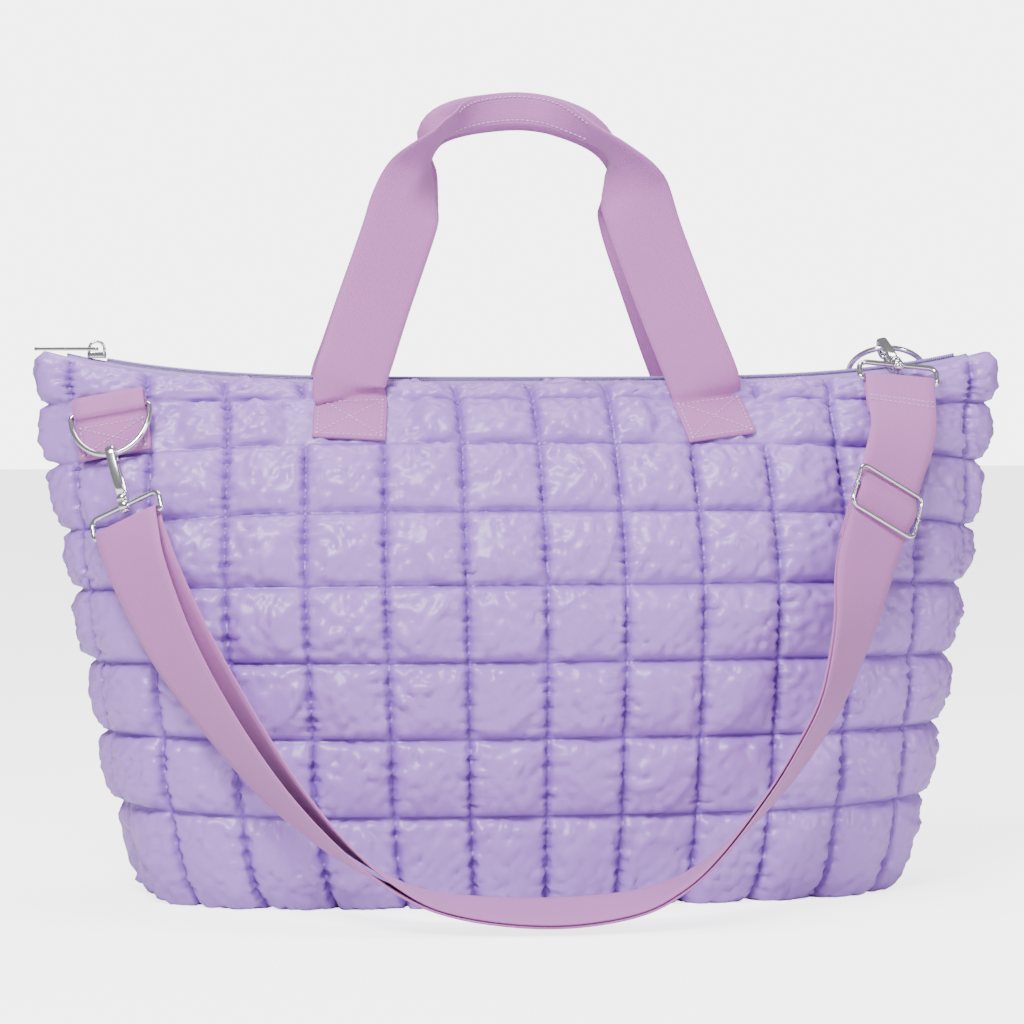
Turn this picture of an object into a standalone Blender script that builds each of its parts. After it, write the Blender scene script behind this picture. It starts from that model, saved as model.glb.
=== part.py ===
"""Quilted overnight bag with folded webbing handles and a clip-on shoulder strap.

Metres, +Z up, front at -Y. The origin is the centre of the flat base.
"""
import math

import bpy
import bmesh
import numpy as np
from mathutils import Matrix, Vector

# Body: outline of each quilting seam, from the base up to the zip rim
# Columns: height at the front, height at the ends, half length, half depth, squareness
RINGS = (
    (0.000, 0.000, 0.186, 0.066, 3.4),
    (0.010, 0.010, 0.200, 0.079, 3.2),
    (0.048, 0.051, 0.216, 0.084, 2.8),
    (0.089, 0.089, 0.224, 0.087, 2.5),
    (0.129, 0.126, 0.231, 0.088, 2.35),
    (0.169, 0.164, 0.238, 0.085, 2.25),
    (0.207, 0.195, 0.244, 0.072, 2.2),
    (0.242, 0.230, 0.2505, 0.053, 2.1),
    (0.264, 0.262, 0.259, 0.031, 2.4),
    (0.2715, 0.290, 0.261, 0.0125, 5.0),
)
COLUMNS = 26
CELL_STEPS = (0.0, 0.25, 0.75)
PUFF = 0.0075
WALL = 0.004
RIM_ROW = len(RINGS) - 1

# Webbing
WEB_WIDTH = 0.038
WEB_THICK = 0.0016
GAP = 0.0003

# Handles: middle line of the front one, with the share of its fold in the last column
# Columns: x, distance in front of the middle, height, turn of the outer and inner half in degrees
HANDLE_COLUMN = 2.45
HANDLE_LINE = (
    (-0.0980, 0.0345, 0.2737, 0, 0),
    (-0.0925, 0.0315, 0.2901, 0, 0),
    (-0.0843, 0.0275, 0.3146, 0, 0),
    (-0.0763, 0.0255, 0.3374, 0, 0),
    (-0.0697, 0.0250, 0.3568, 0, 0),
    (-0.0670, 0.0248, 0.3661, 0, 8),
    (-0.0634, 0.0245, 0.3746, 4, 34),
    (-0.0585, 0.0240, 0.3839, 20, 62),
    (-0.0536, 0.0240, 0.3927, 46, 88),
    (-0.0497, 0.0230, 0.3992, 66, 112),
    (-0.0457, 0.0210, 0.4034, 60, 138),
    (-0.0374, 0.0170, 0.4066, 34, 164),
    (-0.0236, 0.0140, 0.4091, 10, 178),
    (-0.0063, 0.0130, 0.4105, 0, 180),
    (0.0074, 0.0132, 0.4093, 8, 180),
    (0.0184, 0.0150, 0.4067, 30, 170),
    (0.0278, 0.0180, 0.4037, 50, 154),
    (0.0348, 0.0205, 0.4006, 64, 132),
    (0.0403, 0.0225, 0.3967, 68, 108),
    (0.0449, 0.0240, 0.3914, 60, 84),
    (0.0495, 0.0245, 0.3852, 46, 62),
    (0.0534, 0.0248, 0.3784, 28, 38),
    (0.0570, 0.0250, 0.3702, 8, 12),
    (0.0625, 0.0255, 0.3532, 0, 0),
    (0.0714, 0.0275, 0.3286, 0, 0),
    (0.0819, 0.0315, 0.3004, 0, 0),
    (0.0923, 0.0345, 0.2735, 0, 0),
)
HANDLE_BEND = 0.0040
PATCH_LEAN = {-1: -0.06, 1: 0.14}
BACK_SHIFT = 0.004

# Tabs and D-rings: left one on the front, right one on the back
LEFT_TAB_COLUMN = -5.45
RIGHT_TAB_COLUMN = COLUMNS / 2 - 5.15
TAB_ROW = 7.5
TAB_LENGTH = 0.033
TAB_SEAT = 0.0024
RING_WIRE = 0.0015
RING_HALF = WEB_WIDTH / 2 + 0.0023
RING_CORNER = 0.0020
RING_DROP = 0.027
LEFT_BAR_UP = 0.0080
LEFT_RING_LEAN = 14
RIGHT_BAR_UP = 0.0247
RIGHT_BAR_OUT = 0.0072
RIGHT_RING_RISE = 34
RIGHT_TAB_SKEW = 15

# Zip
ZIP_END = 0.2450
COIL_START = -0.2240
COIL_END = 0.2380
TAPE_THICK = 0.0008
SLIDER_LENGTH = 0.0100
SLIDER_WIDTH = 0.0085
SLIDER_HEIGHT = 0.0036
BRIDGE_RADIUS = 0.0040
BRIDGE_WIRE = 0.0008
PULL_LENGTH = 0.0330
PULL_WIDTH = 0.0066
PULL_THICK = 0.0018

# Snap hooks
HOOK_WIDTH = 0.0050
HOOK_THICK = 0.0028
EYE_WIRE = 0.0015
EYE_HALF = WEB_WIDTH / 2 + 0.0024
EYE_RISE = 0.0110
EYE_CORNERS = (0.0018, 0.0042)

# Shoulder strap: its middle line, how far its face turns upward and how far its layers part
# Columns: x, distance in front of the middle, height, face in degrees, spread
STRAP_LINE = (
    (-0.2150, 0.0570, 0.2004, 58, 0.0045),
    (-0.2105, 0.0690, 0.1790, 50, 0.0085),
    (-0.1942, 0.0860, 0.1404, 40, 0.0110),
    (-0.1702, 0.1050, 0.1016, 28, 0.0105),
    (-0.1431, 0.1240, 0.0670, 19, 0.0080),
    (-0.1139, 0.1400, 0.0400, 10, 0.0050),
    (-0.0844, 0.1510, 0.0215, 0, 0.0030),
    (-0.0540, 0.1570, 0.0125, -8, 0.0014),
    (-0.0100, 0.1600, 0.0090, -12, 0.0019),
    (0.0300, 0.1580, 0.0120, -8, 0.0019),
    (0.0540, 0.1560, 0.0200, 0, 0.0019),
    (0.0737, 0.1510, 0.0321, 8, 0.0019),
    (0.0947, 0.1430, 0.0502, 16, 0.0019),
    (0.1201, 0.1280, 0.0760, 24, 0.0019),
    (0.1424, 0.1130, 0.1060, 30, 0.0019),
    (0.1580, 0.0990, 0.1424, 44, 0.0019),
    (0.1674, 0.0880, 0.1760, 64, 0.0019),
    (0.1780, 0.0790, 0.2040, 70, 0.0019),
    (0.1880, 0.0660, 0.2290, 76, 0.0019),
    (0.1965, 0.0520, 0.2490, 84, 0.0022),
    (0.1995, 0.0317, 0.2742, 90, 0.0030),
)
ADJUSTER_BACK = 0.0810
FRAME_WIRE = 0.0011
FRAME_HALF = WEB_WIDTH / 2 + 0.0025
FRAME_RISE = 0.0120
BAR_RADIUS = 0.0013

for old in list(bpy.data.objects):
    bpy.data.objects.remove(old, do_unlink=True)
bag = bpy.data.collections.new("puffer_overnight_bag")
bpy.context.scene.collection.children.link(bag)


def material(name, colour, roughness, metallic=0.0):
    made = bpy.data.materials.new(name)
    made.use_nodes = True
    shader = made.node_tree.nodes["Principled BSDF"]
    shader.inputs["Base Color"].default_value = (*colour, 1.0)
    shader.inputs["Roughness"].default_value = roughness
    shader.inputs["Metallic"].default_value = metallic
    return made


def add_part(name, mesh_maker, look):
    """One closed body from a bmesh, faces pointing out, in its own colour."""
    bmesh.ops.remove_doubles(mesh_maker, verts=mesh_maker.verts, dist=1e-6)
    bmesh.ops.recalc_face_normals(mesh_maker, faces=mesh_maker.faces)
    if mesh_maker.calc_volume(signed=True) < 0:
        bmesh.ops.reverse_faces(mesh_maker, faces=mesh_maker.faces)
    mesh = bpy.data.meshes.new(name)
    mesh_maker.to_mesh(mesh)
    mesh_maker.free()
    part = bpy.data.objects.new(name, mesh)
    bag.objects.link(part)
    mesh.materials.append(material(name, *look))
    return part


def smooth_table(rows, count_per_row):
    """Rows of a table joined by a smooth curve, count_per_row stations between two rows."""
    rows = np.array(rows, float)
    padded = np.vstack((2 * rows[0] - rows[1], rows, 2 * rows[-1] - rows[-2]))
    out = []
    for i in range(1, len(padded) - 2):
        for step in range(count_per_row):
            t = step / count_per_row
            out.append(blend_rows(padded[i - 1:i + 3], t))
    out.append(rows[-1])
    return np.array(out)


def blend_rows(four, t):
    """Catmull-Rom point between the middle two of four rows."""
    a, b, c, d = four
    return 0.5 * (2 * b + (c - a) * t + (2 * a - 5 * b + 4 * c - d) * t ** 2
                  + (3 * b - a - 3 * c + d) * t ** 3)


def even(points, spacing):
    """Stations at an even spacing along a polyline of rows whose first three columns are x, y, z."""
    run = np.concatenate(([0.0], np.cumsum(np.linalg.norm(np.diff(points[:, :3], axis=0), axis=1))))
    count = max(2, round(run[-1] / spacing))
    at = np.linspace(0.0, run[-1], count + 1)
    return at, np.stack([np.interp(at, run, points[:, k]) for k in range(points.shape[1])], axis=1)


def unit(vectors):
    return vectors / np.linalg.norm(vectors, axis=-1, keepdims=True)


def tangents(points):
    return unit(np.gradient(points, axis=0))


def loft(name, sections, look, closed=False):
    """Body through a row of equal-count sections, capped unless it closes on itself."""
    bm = bmesh.new()
    rings = [[bm.verts.new(Vector(p)) for p in section] for section in sections]
    count = len(rings[0])
    pairs = list(zip(rings, rings[1:]))
    if closed:
        pairs.append((rings[-1], rings[0]))
    for low, high in pairs:
        for k in range(count):
            n = (k + 1) % count
            bm.faces.new((low[k], low[n], high[n], high[k]))
    if not closed:
        bm.faces.new(reversed(rings[0]))
        bm.faces.new(rings[-1])
    return add_part(name, bm, look)


# Body surface

def ring_values(row):
    """Table values at a fractional row."""
    table = np.array(RINGS)
    low = min(int(row), RIM_ROW - 1)
    ends = np.vstack((2 * table[0] - table[1], table, 2 * table[-1] - table[-2]))
    return blend_rows(ends[low:low + 4], row - low)


def outline(half_length, half_depth, squareness, fractions):
    """Points of a superellipse at equal shares of its length, from the front centre round."""
    turn = np.linspace(-math.pi / 2, 3 * math.pi / 2, 1441)
    cosine = np.cos(turn)
    sine = np.sin(turn)
    x = half_length * np.sign(cosine) * np.abs(cosine) ** (2 / squareness)
    y = half_depth * np.sign(sine) * np.abs(sine) ** (2 / squareness)
    run = np.concatenate(([0.0], np.cumsum(np.hypot(np.diff(x), np.diff(y)))))
    at = (np.asarray(fractions) % 1.0) * run[-1]
    return np.stack((np.interp(at, run, x), np.interp(at, run, y)), axis=-1)


def skin_row(row, columns, inset=0.0):
    """Points of the seam surface at one row, for columns counted from the front centre."""
    z_front, z_side, half_length, half_depth, squareness = ring_values(row)
    flat = outline(half_length - inset, half_depth - inset, squareness, np.asarray(columns) / COLUMNS)
    share = (np.abs(flat[:, 0]) / half_length) ** 4
    height = z_front + (z_side - z_front) * share
    return np.column_stack((flat, height))


def skin_point(column, row):
    """Point, outward normal and upward direction of the seam surface."""
    step = 0.04
    here = skin_row(row, [column])[0]
    side = unit(skin_row(row, [column + step])[0] - skin_row(row, [column - step])[0])
    low = max(row - step, 0.0)
    high = min(row + step, RIM_ROW)
    up = unit(skin_row(high, [column])[0] - skin_row(low, [column])[0])
    return here, unit(np.cross(side, up)), up


def pressed(column, row):
    """Share of the puff left where sewn webbing flattens a cell of the top full row."""
    sewn = [HANDLE_COLUMN, -HANDLE_COLUMN, LEFT_TAB_COLUMN]
    sewn += [COLUMNS / 2 + HANDLE_COLUMN, COLUMNS / 2 - HANDLE_COLUMN, RIGHT_TAB_COLUMN]
    for at in sewn:
        away = abs((column - at + COLUMNS / 2) % COLUMNS - COLUMNS / 2)
        if row > 7 and away < 0.75:
            return 0.0
    return 1.0


def body():
    bm = bmesh.new()
    columns = [k + t for k in range(COLUMNS) for t in CELL_STEPS]
    rows = [1 + r + t for r in range(RIM_ROW - 1) for t in CELL_STEPS] + [RIM_ROW]
    outer = [[bm.verts.new(Vector(p)) for p in skin_row(0, columns)]]
    for row in rows:
        swell_up = max(math.sin(math.pi * (row % 1.0)), 0.0) ** 0.5
        ring = []
        for column in columns:
            here, normal, _ = skin_point(column, row)
            swell = swell_up * max(math.sin(math.pi * (column % 1.0)), 0.0) ** 0.5
            if row > 8:
                swell *= 0.45
            ring.append(bm.verts.new(Vector(here + normal * PUFF * swell * pressed(column, row))))
        outer.append(ring)
    inner = []
    for row in (RIM_ROW, 8, 7, 5.5, 3.5, 1):
        points = skin_row(row, columns, WALL)
        if row == 1:
            points[:, :2] *= 0.97
            points[:, 2] = WALL
        inner.append([bm.verts.new(Vector(p)) for p in points])
    rings = outer + inner
    count = len(columns)
    for low, high in zip(rings, rings[1:]):
        for k in range(count):
            n = (k + 1) % count
            bm.faces.new((low[k], low[n], high[n], high[k]))
    bm.faces.new(reversed(outer[0]))
    bm.faces.new(inner[-1])
    return add_part("bag_body", bm, ((0.52, 0.40, 0.71), 0.32))


# Zip

def rim_height(x):
    return RINGS[-1][0] + (RINGS[-1][1] - RINGS[-1][0]) * (abs(x) / RINGS[-1][2]) ** 4


def rim_inside(x):
    """Half width of the slot between the rims at x."""
    half_length = RINGS[-1][2] - WALL
    half_depth = RINGS[-1][3] - WALL
    share = min(abs(x) / half_length, 0.999)
    return half_depth * (1 - share ** RINGS[-1][4]) ** (1 / RINGS[-1][4])


def zip_tape(name, side):
    sections = []
    for x in np.linspace(-ZIP_END, ZIP_END, 25):
        outside = rim_inside(x) - GAP
        z = rim_height(x)
        top = ((0.0012, 0.0016), (outside - TAPE_THICK, 0.0004), (outside - TAPE_THICK - 0.0002, -0.0060))
        under = ((outside - 0.0002, -0.0060), (outside, 0.0019), (0.0012, 0.0016 + TAPE_THICK))
        sections.append([(x, side * y, z + dz) for y, dz in top + under])
    return loft(name, sections, ((0.50, 0.38, 0.66), 0.6))


def zip_coil():
    sections = []
    for x in np.linspace(COIL_START, COIL_END, 25):
        z = rim_height(x) + 0.0042
        turns = [math.tau * k / 6 for k in range(6)]
        sections.append([(x, 0.0021 * math.cos(a), z + 0.0014 * math.sin(a)) for a in turns])
    return loft("zip_coil", sections, ((0.36, 0.27, 0.56), 0.45))


def box_mesh(bm, low, high):
    made = bmesh.ops.create_cube(bm, size=1.0)["verts"]
    low = Vector(low)
    high = Vector(high)
    for v in made:
        v.co = (low + high) / 2 + Vector(a * b for a, b in zip(v.co, high - low))


def union(first, second, operation="UNION"):
    """Boolean of two bodies kept as one plain mesh under the first one's name."""
    cut = first.modifiers.new("joined", "BOOLEAN")
    cut.operation = operation
    cut.object = second
    cut.solver = "EXACT"
    bpy.context.view_layer.update()
    mesh = bpy.data.meshes.new_from_object(first.evaluated_get(bpy.context.evaluated_depsgraph_get()))
    first.modifiers.clear()
    first.data = mesh
    bpy.data.objects.remove(second, do_unlink=True)
    return first


def tube(name, points, radius, sides, look, closed=False, up=(0, 1, 0)):
    """Round wire along a planar or gently turning line."""
    points = np.array(points, float)
    if closed:
        run = unit(np.roll(points, -1, axis=0) - np.roll(points, 1, axis=0))
    else:
        run = tangents(points)
    sections = []
    for p, t in zip(points, run):
        a = unit(np.array(up) - np.dot(np.array(up), t) * t)
        b = np.cross(t, a)
        turns = [math.tau * (k + 0.5) / sides for k in range(sides)]
        sections.append([p + radius * (a * math.cos(s) + b * math.sin(s)) for s in turns])
    return loft(name, sections, look, closed)


CHROME = ((0.80, 0.80, 0.82), 0.12, 1.0)
SLIDER_X = COIL_START - GAP - SLIDER_LENGTH / 2
SLIDER_BASE = rim_height(SLIDER_X) + 0.0038
PULL_AXIS = SLIDER_BASE + SLIDER_HEIGHT + 0.0014


def zip_slider():
    bm = bmesh.new()
    box_mesh(bm, (SLIDER_X - SLIDER_LENGTH / 2, -SLIDER_WIDTH / 2, SLIDER_BASE),
             (SLIDER_X + SLIDER_LENGTH / 2, SLIDER_WIDTH / 2, SLIDER_BASE + SLIDER_HEIGHT))
    upright = [e for e in bm.edges if abs(e.verts[0].co.z - e.verts[1].co.z) > 0.001]
    bmesh.ops.bevel(bm, geom=upright, offset=0.0022, segments=3, profile=0.5, affect="EDGES")
    slider = add_part("zip_slider", bm, CHROME)
    foot = SLIDER_BASE + SLIDER_HEIGHT - 0.0010
    arch = [(SLIDER_X - BRIDGE_RADIUS, 0, foot)]
    for k in range(9):
        turn = math.pi - math.pi * k / 8
        arch.append((SLIDER_X + BRIDGE_RADIUS * math.cos(turn), 0,
                     PULL_AXIS + BRIDGE_RADIUS * math.sin(turn)))
    arch.append((SLIDER_X + BRIDGE_RADIUS, 0, foot))
    return union(slider, tube("bridge", arch, BRIDGE_WIRE, 6, CHROME))


def zip_pull():
    """Flat pull whose cross bar lies under the bridge, with a window round the bridge."""
    bm = bmesh.new()
    half = PULL_THICK / 2
    bar = 0.0009
    box_mesh(bm, (-PULL_LENGTH, -PULL_WIDTH / 2, -half), (bar, PULL_WIDTH / 2, half))
    upright = [e for e in bm.edges if abs(e.verts[0].co.z - e.verts[1].co.z) > 0.001]
    bmesh.ops.bevel(bm, geom=upright, offset=0.0022, segments=3, profile=0.5, affect="EDGES")
    pull = add_part("zip_pull", bm, CHROME)
    bm = bmesh.new()
    box_mesh(bm, (-0.0072, -0.0017, -0.01), (-bar, 0.0017, 0.01))
    window = add_part("window", bm, CHROME)
    pull = union(pull, window, "DIFFERENCE")
    pull.location = (SLIDER_X, 0.0, PULL_AXIS)
    return pull


# Handles

def handle(name, turned):
    """Webbing flat on the panel and up the legs, folded in half over the grip."""
    patch = []
    for end in (-1, 1):
        rows = np.linspace(7.06, 7.98, 5)
        line = []
        for row in rows:
            here, normal, _ = skin_point(end * HANDLE_COLUMN - PATCH_LEAN[end] * (row - 7.0), row)
            line.append((*(here + normal * (WEB_THICK / 2 + 3 * GAP)), *normal, 0.0, 0.0))
        patch.append(line if end < 0 else line[::-1])
    legs = [(x, -depth, z, 0.0, -1.0, 0.0, front, back) for x, depth, z, front, back in HANDLE_LINE]
    line = smooth_table(patch[0] + legs + patch[1], 4)
    _, stations = even(line, 0.0095)
    points = stations[:, :3]
    run = tangents(points)
    facing = stations[:, 3:6] - np.sum(stations[:, 3:6] * run, axis=1, keepdims=True) * run
    facing = unit(facing)
    inward = np.cross(run, facing)
    half = WEB_WIDTH / 2
    across = (half, HANDLE_BEND, HANDLE_BEND / 3, -HANDLE_BEND / 3, -HANDLE_BEND, -half)
    sections = []
    for p, f, i, front_turn, back_turn in zip(points, facing, inward, *np.radians(stations[:, 6:8]).T):
        spine = [np.zeros(2)]
        angles = []
        for a, b in zip(across, across[1:]):
            share = min(max((HANDLE_BEND - (a + b) / 2) / (2 * HANDLE_BEND), 0.0), 1.0)
            angle = front_turn + (back_turn - front_turn) * share
            angles.append(angle)
            spine.append(spine[-1] + (a - b) * np.array((math.cos(angle), -math.sin(angle))))
        spine = np.array(spine)
        centre = (spine[2] + spine[3]) / 2
        spine = spine - centre
        joint = [angles[0]] + [(a + b) / 2 for a, b in zip(angles, angles[1:])] + [angles[-1]]
        front = []
        back = []
        for (along, out), angle in zip(spine, joint):
            normal = np.array((math.sin(angle), math.cos(angle)))
            for side, store in ((1, front), (-1, back)):
                u, v = np.array((along, out)) + side * normal * WEB_THICK / 2
                store.append(p + i * u + f * v)
        sections.append(front[::-1] + back)
    if turned:
        sections = [[(q[0] + BACK_SHIFT, -q[1], q[2]) for q in s] for s in sections]
    return loft(name, sections, ((0.53, 0.31, 0.53), 0.75))


# D-rings and their tabs

def local_frame(column, row):
    """Point on the panel with its sideways, upward and outward directions."""
    here, normal, up = skin_point(column, row)
    return here, np.cross(up, normal), up, normal


def turned_frame(frame, degrees, lift):
    """The same frame turned about its outward direction and lifted along it."""
    here, side, up, normal = frame
    turn = math.radians(degrees)
    return (here + normal * lift, side * math.cos(turn) - up * math.sin(turn),
            up * math.cos(turn) + side * math.sin(turn), normal)


def ring_line(bar, side, fall):
    """Middle line of a D-ring whose straight bar is centred at bar, its bow toward fall."""
    flat = []
    straight = RING_HALF - RING_CORNER
    for k in range(4):
        a = math.pi / 2 * (1 - k / 3)
        flat.append((straight + RING_CORNER * math.cos(a), RING_CORNER * (1 - math.sin(a))))
    for k in range(1, 16):
        a = math.pi * k / 16
        flat.append((RING_HALF * math.cos(a), RING_CORNER + (RING_DROP - RING_CORNER) * math.sin(a)))
    for k in range(4):
        a = math.pi - math.pi / 2 * k / 3
        flat.append((-straight + RING_CORNER * math.cos(a), RING_CORNER * (1 - math.sin(a))))
    return [bar + side * s + fall * d for s, d in flat]


def web_loop(name, frame, line):
    """Webbing of full width along a line of steps up and out from a panel frame."""
    here, side, up, normal = frame
    line = np.array(line)
    half = WEB_THICK / 2
    sections = []
    for (rise, out), (dr, dn) in zip(line, tangents(line)):
        corner = []
        for edge, face in ((-1, -1), (1, -1), (1, 1), (-1, 1)):
            corner.append(here + side * edge * WEB_WIDTH / 2 + up * (rise - face * dn * half)
                          + normal * (out + face * dr * half))
        sections.append(corner)
    return loft(name, sections, ((0.53, 0.31, 0.53), 0.75))


SEAT = TAB_SEAT + WEB_THICK / 2
STEP = WEB_THICK + GAP
WRAP = RING_WIRE + GAP + WEB_THICK / 2
LEFT_TAB = local_frame(LEFT_TAB_COLUMN, TAB_ROW)
LEFT_BAR = LEFT_TAB[0] + LEFT_TAB[2] * LEFT_BAR_UP + LEFT_TAB[3] * (SEAT + WRAP)
LEFT_FALL = (-LEFT_TAB[2] * math.cos(math.radians(LEFT_RING_LEAN))
             + LEFT_TAB[3] * math.sin(math.radians(LEFT_RING_LEAN)))
LEFT_RING = ring_line(LEFT_BAR, LEFT_TAB[1], LEFT_FALL)

RIGHT_TAB = turned_frame(local_frame(RIGHT_TAB_COLUMN, TAB_ROW), RIGHT_TAB_SKEW, 4 * GAP)
RIGHT_SIDE = unit(RIGHT_TAB[1])
RIGHT_FALL = np.cross(np.cross(RIGHT_SIDE, (0.0, -math.cos(math.radians(RIGHT_RING_RISE)),
                                            math.sin(math.radians(RIGHT_RING_RISE)))), RIGHT_SIDE)
RIGHT_FALL = unit(RIGHT_FALL)
RIGHT_BAR = RIGHT_TAB[0] + RIGHT_TAB[2] * RIGHT_BAR_UP + RIGHT_TAB[3] * RIGHT_BAR_OUT
RIGHT_RING = ring_line(RIGHT_BAR, RIGHT_SIDE, RIGHT_FALL)


def ring_tab_left():
    """Webbing up the panel, in a flat roll round the ring's bar and back down on itself."""
    low = -TAB_LENGTH / 2
    line = [(low, SEAT), (0.0, SEAT), (LEFT_BAR_UP, SEAT)]
    for k in range(7):
        turn = math.radians(-90 + 30 * k)
        line.append((LEFT_BAR_UP + 0.006 + WRAP * math.cos(turn), SEAT + WRAP + WRAP * math.sin(turn)))
    for k in range(4):
        turn = math.radians(90 + 26 * k)
        line.append((LEFT_BAR_UP + 1.06 * WRAP * math.cos(turn), SEAT + WRAP + 1.06 * WRAP * math.sin(turn)))
    line += [(LEFT_BAR_UP - 0.0046, SEAT + STEP), (LEFT_BAR_UP - 0.0076, SEAT + STEP),
             (-0.004, SEAT + STEP), (low, SEAT + STEP)]
    return web_loop("ring_tab_left", LEFT_TAB, line)


def ring_tab_right():
    """Webbing up the panel and drawn up over the ring's bar, then back down on itself."""
    rise = RIGHT_BAR_UP
    out = RIGHT_BAR_OUT
    low = -TAB_LENGTH / 2
    top = TAB_LENGTH / 2 - 0.004
    lean = math.atan2(out - SEAT, rise - top)
    line = [(low, SEAT), (0.0, SEAT), (top, SEAT)]
    for k in range(9):
        turn = lean + math.radians(-90 + 22.5 * k)
        line.append((rise + WRAP * math.cos(turn), out + WRAP * math.sin(turn)))
    line += [(top + 0.001, SEAT + STEP + 0.0008), (top - 0.003, SEAT + STEP), (0.0, SEAT + STEP),
             (low, SEAT + STEP)]
    return web_loop("ring_tab_right", RIGHT_TAB, line)


# Snap hooks: frames are the boss, the stem's direction, the wire's direction and the back

def hook_frame(boss, wire, along):
    """Frame of a hook whose bow holds the ring's wire, itself lying along the given direction."""
    boss = np.array(boss, float)
    axis = unit(np.array(wire) - boss)
    side = unit(along - np.dot(along, axis) * axis)
    back = np.cross(axis, side)
    turn = math.atan2(BOW_CENTRE[0], RING_IN_BOW)
    axis, back = (axis * math.cos(turn) - back * math.sin(turn),
                  back * math.cos(turn) + axis * math.sin(turn))
    return boss, side, back, axis


def hook_at(frame, side, back, along):
    o, s, b, a = frame
    return o + s * side + b * back + a * along


HOOK_STEM = 0.0045
BOW_CENTRE = (0.0026, 0.0290)
BOW_RADIUS = 0.0046
RING_IN_BOW = BOW_CENTRE[1] + BOW_RADIUS - HOOK_THICK / 2 - 2.5 * GAP - RING_WIRE


def strip(name, frame, line, width, thick, look):
    """Flat metal strip along a line in the hook's plane, rounded at its edges."""
    line = np.array(line)
    run = tangents(line)
    sections = []
    for (back, along), (db, da) in zip(line, run):
        normal = np.array((da, -db))
        section = []
        for side, out in ((-0.5, -0.25), (-0.32, -0.5), (0.32, -0.5), (0.5, -0.25),
                          (0.5, 0.25), (0.32, 0.5), (-0.32, 0.5), (-0.5, 0.25)):
            b, a = np.array((back, along)) + normal * out * thick
            section.append(hook_at(frame, side * width, b, a))
        sections.append(section)
    return loft(name, sections, look)


def hook(name, frame):
    line = [(0.0, HOOK_STEM - 0.0019), (0.0, HOOK_STEM + 0.0020), (-0.0014, HOOK_STEM + 0.0060),
            (-0.0020, 0.0180), (-0.0020, BOW_CENTRE[1] - 0.002)]
    for k in range(11):
        turn = math.radians(180 - 21 * k)
        line.append((BOW_CENTRE[0] + BOW_RADIUS * math.cos(turn),
                     BOW_CENTRE[1] + BOW_RADIUS * math.sin(turn)))
    body_part = strip(name, frame, line, HOOK_WIDTH, HOOK_THICK, CHROME)
    low = hook_at(frame, 0, 0, -0.0040)
    high = hook_at(frame, 0, 0, HOOK_STEM + 0.0010)
    pin = tube("pin", [low, (low + high) / 2, high], 0.0012, 8, CHROME, up=frame[1])
    head = tube("head", [low, hook_at(frame, 0, 0, -0.0027)], 0.0022, 8, CHROME, up=frame[1])
    collar = tube("collar", [hook_at(frame, 0, 0, 0.0026), hook_at(frame, 0, 0, HOOK_STEM + 0.0012)],
                  0.0034, 10, CHROME, up=frame[1])
    lug = tube("lug", [hook_at(frame, 0, 0.0015, 0.0062), hook_at(frame, 0, 0.0054, 0.0062)],
               0.0015, 8, CHROME, up=frame[1])
    for piece in (pin, head, collar, lug):
        body_part = union(body_part, piece)
    return body_part


GATE_PIVOT = (0.0062, 0.0068)


def gate(name, frame):
    line = [(GATE_PIVOT[0] + 0.0008, GATE_PIVOT[1] - 0.0019), (0.0074, 0.0110), (0.0078, 0.0170),
            (0.0074, 0.0222), (0.0070, 0.0246)]
    part = strip(name, frame, line, HOOK_WIDTH * 0.8, 0.0018, CHROME)
    pivot = Vector(hook_at(frame, 0, *GATE_PIVOT))
    part.data.transform(Matrix.Translation(-pivot))
    part.location = pivot
    return part


def eye(name, frame, toward):
    """Wire loop for the webbing with a drilled boss that the hook's pin turns in."""
    boss, side, back, axis = frame
    centre, width, drop = toward
    low_corner, top_corner = EYE_CORNERS
    flat = []
    for sx, sy, start, corner in ((1, 1, 0, low_corner), (-1, 1, 90, low_corner),
                                  (-1, -1, 180, top_corner), (1, -1, 270, top_corner)):
        for k in range(4):
            a = math.radians(start + 30 * k)
            flat.append((sx * (EYE_HALF - corner) + corner * math.cos(a),
                         sy * (EYE_RISE / 2 - corner) + corner * math.sin(a)))
    line = [centre + width * u - drop * (EYE_RISE / 2 - v) for u, v in flat]
    loop = tube(name, line, EYE_WIRE, 6, CHROME, closed=True, up=np.cross(width, drop))
    low = hook_at(frame, 0, 0, -0.0023)
    high = hook_at(frame, 0, 0, 0.0023)
    loop = union(loop, tube("boss", [low, high], 0.0034, 12, CHROME, up=side))
    low = hook_at(frame, 0, 0, -0.0043)
    high = hook_at(frame, 0, 0, 0.0043)
    return union(loop, tube("drill", [low, high], 0.0016, 12, CHROME, up=side), "DIFFERENCE")


# Shoulder strap

def strap_frames():
    """Stations of the strap's middle line with its run, outward face and far edge directions."""
    rows = [(x, -depth, z, math.radians(face), spread) for x, depth, z, face, spread in STRAP_LINE]
    at, stations = even(smooth_table(rows, 6), 0.001)
    points = stations[:, :3]
    run = tangents(points)
    run = unit(np.stack([np.convolve(np.pad(run[:, k], 12, "edge"), np.ones(25) / 25, "valid")
                         for k in range(3)], axis=1))
    away = np.array((0.0, 1.0, 0.0))
    away = unit(away - np.sum(away * run, axis=1, keepdims=True) * run)
    outer = np.cross(away, run)
    face = stations[:, 3:4]
    far = np.cos(face) * away + np.sin(face) * outer
    normal = np.cos(face) * outer - np.sin(face) * away
    return at, points, run, normal, far, stations[:, 4]


AT, STRAP_POINTS, STRAP_RUN, STRAP_NORMAL, STRAP_FAR, STRAP_SPREAD = strap_frames()
STRAP_LENGTH = AT[-1]


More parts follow.
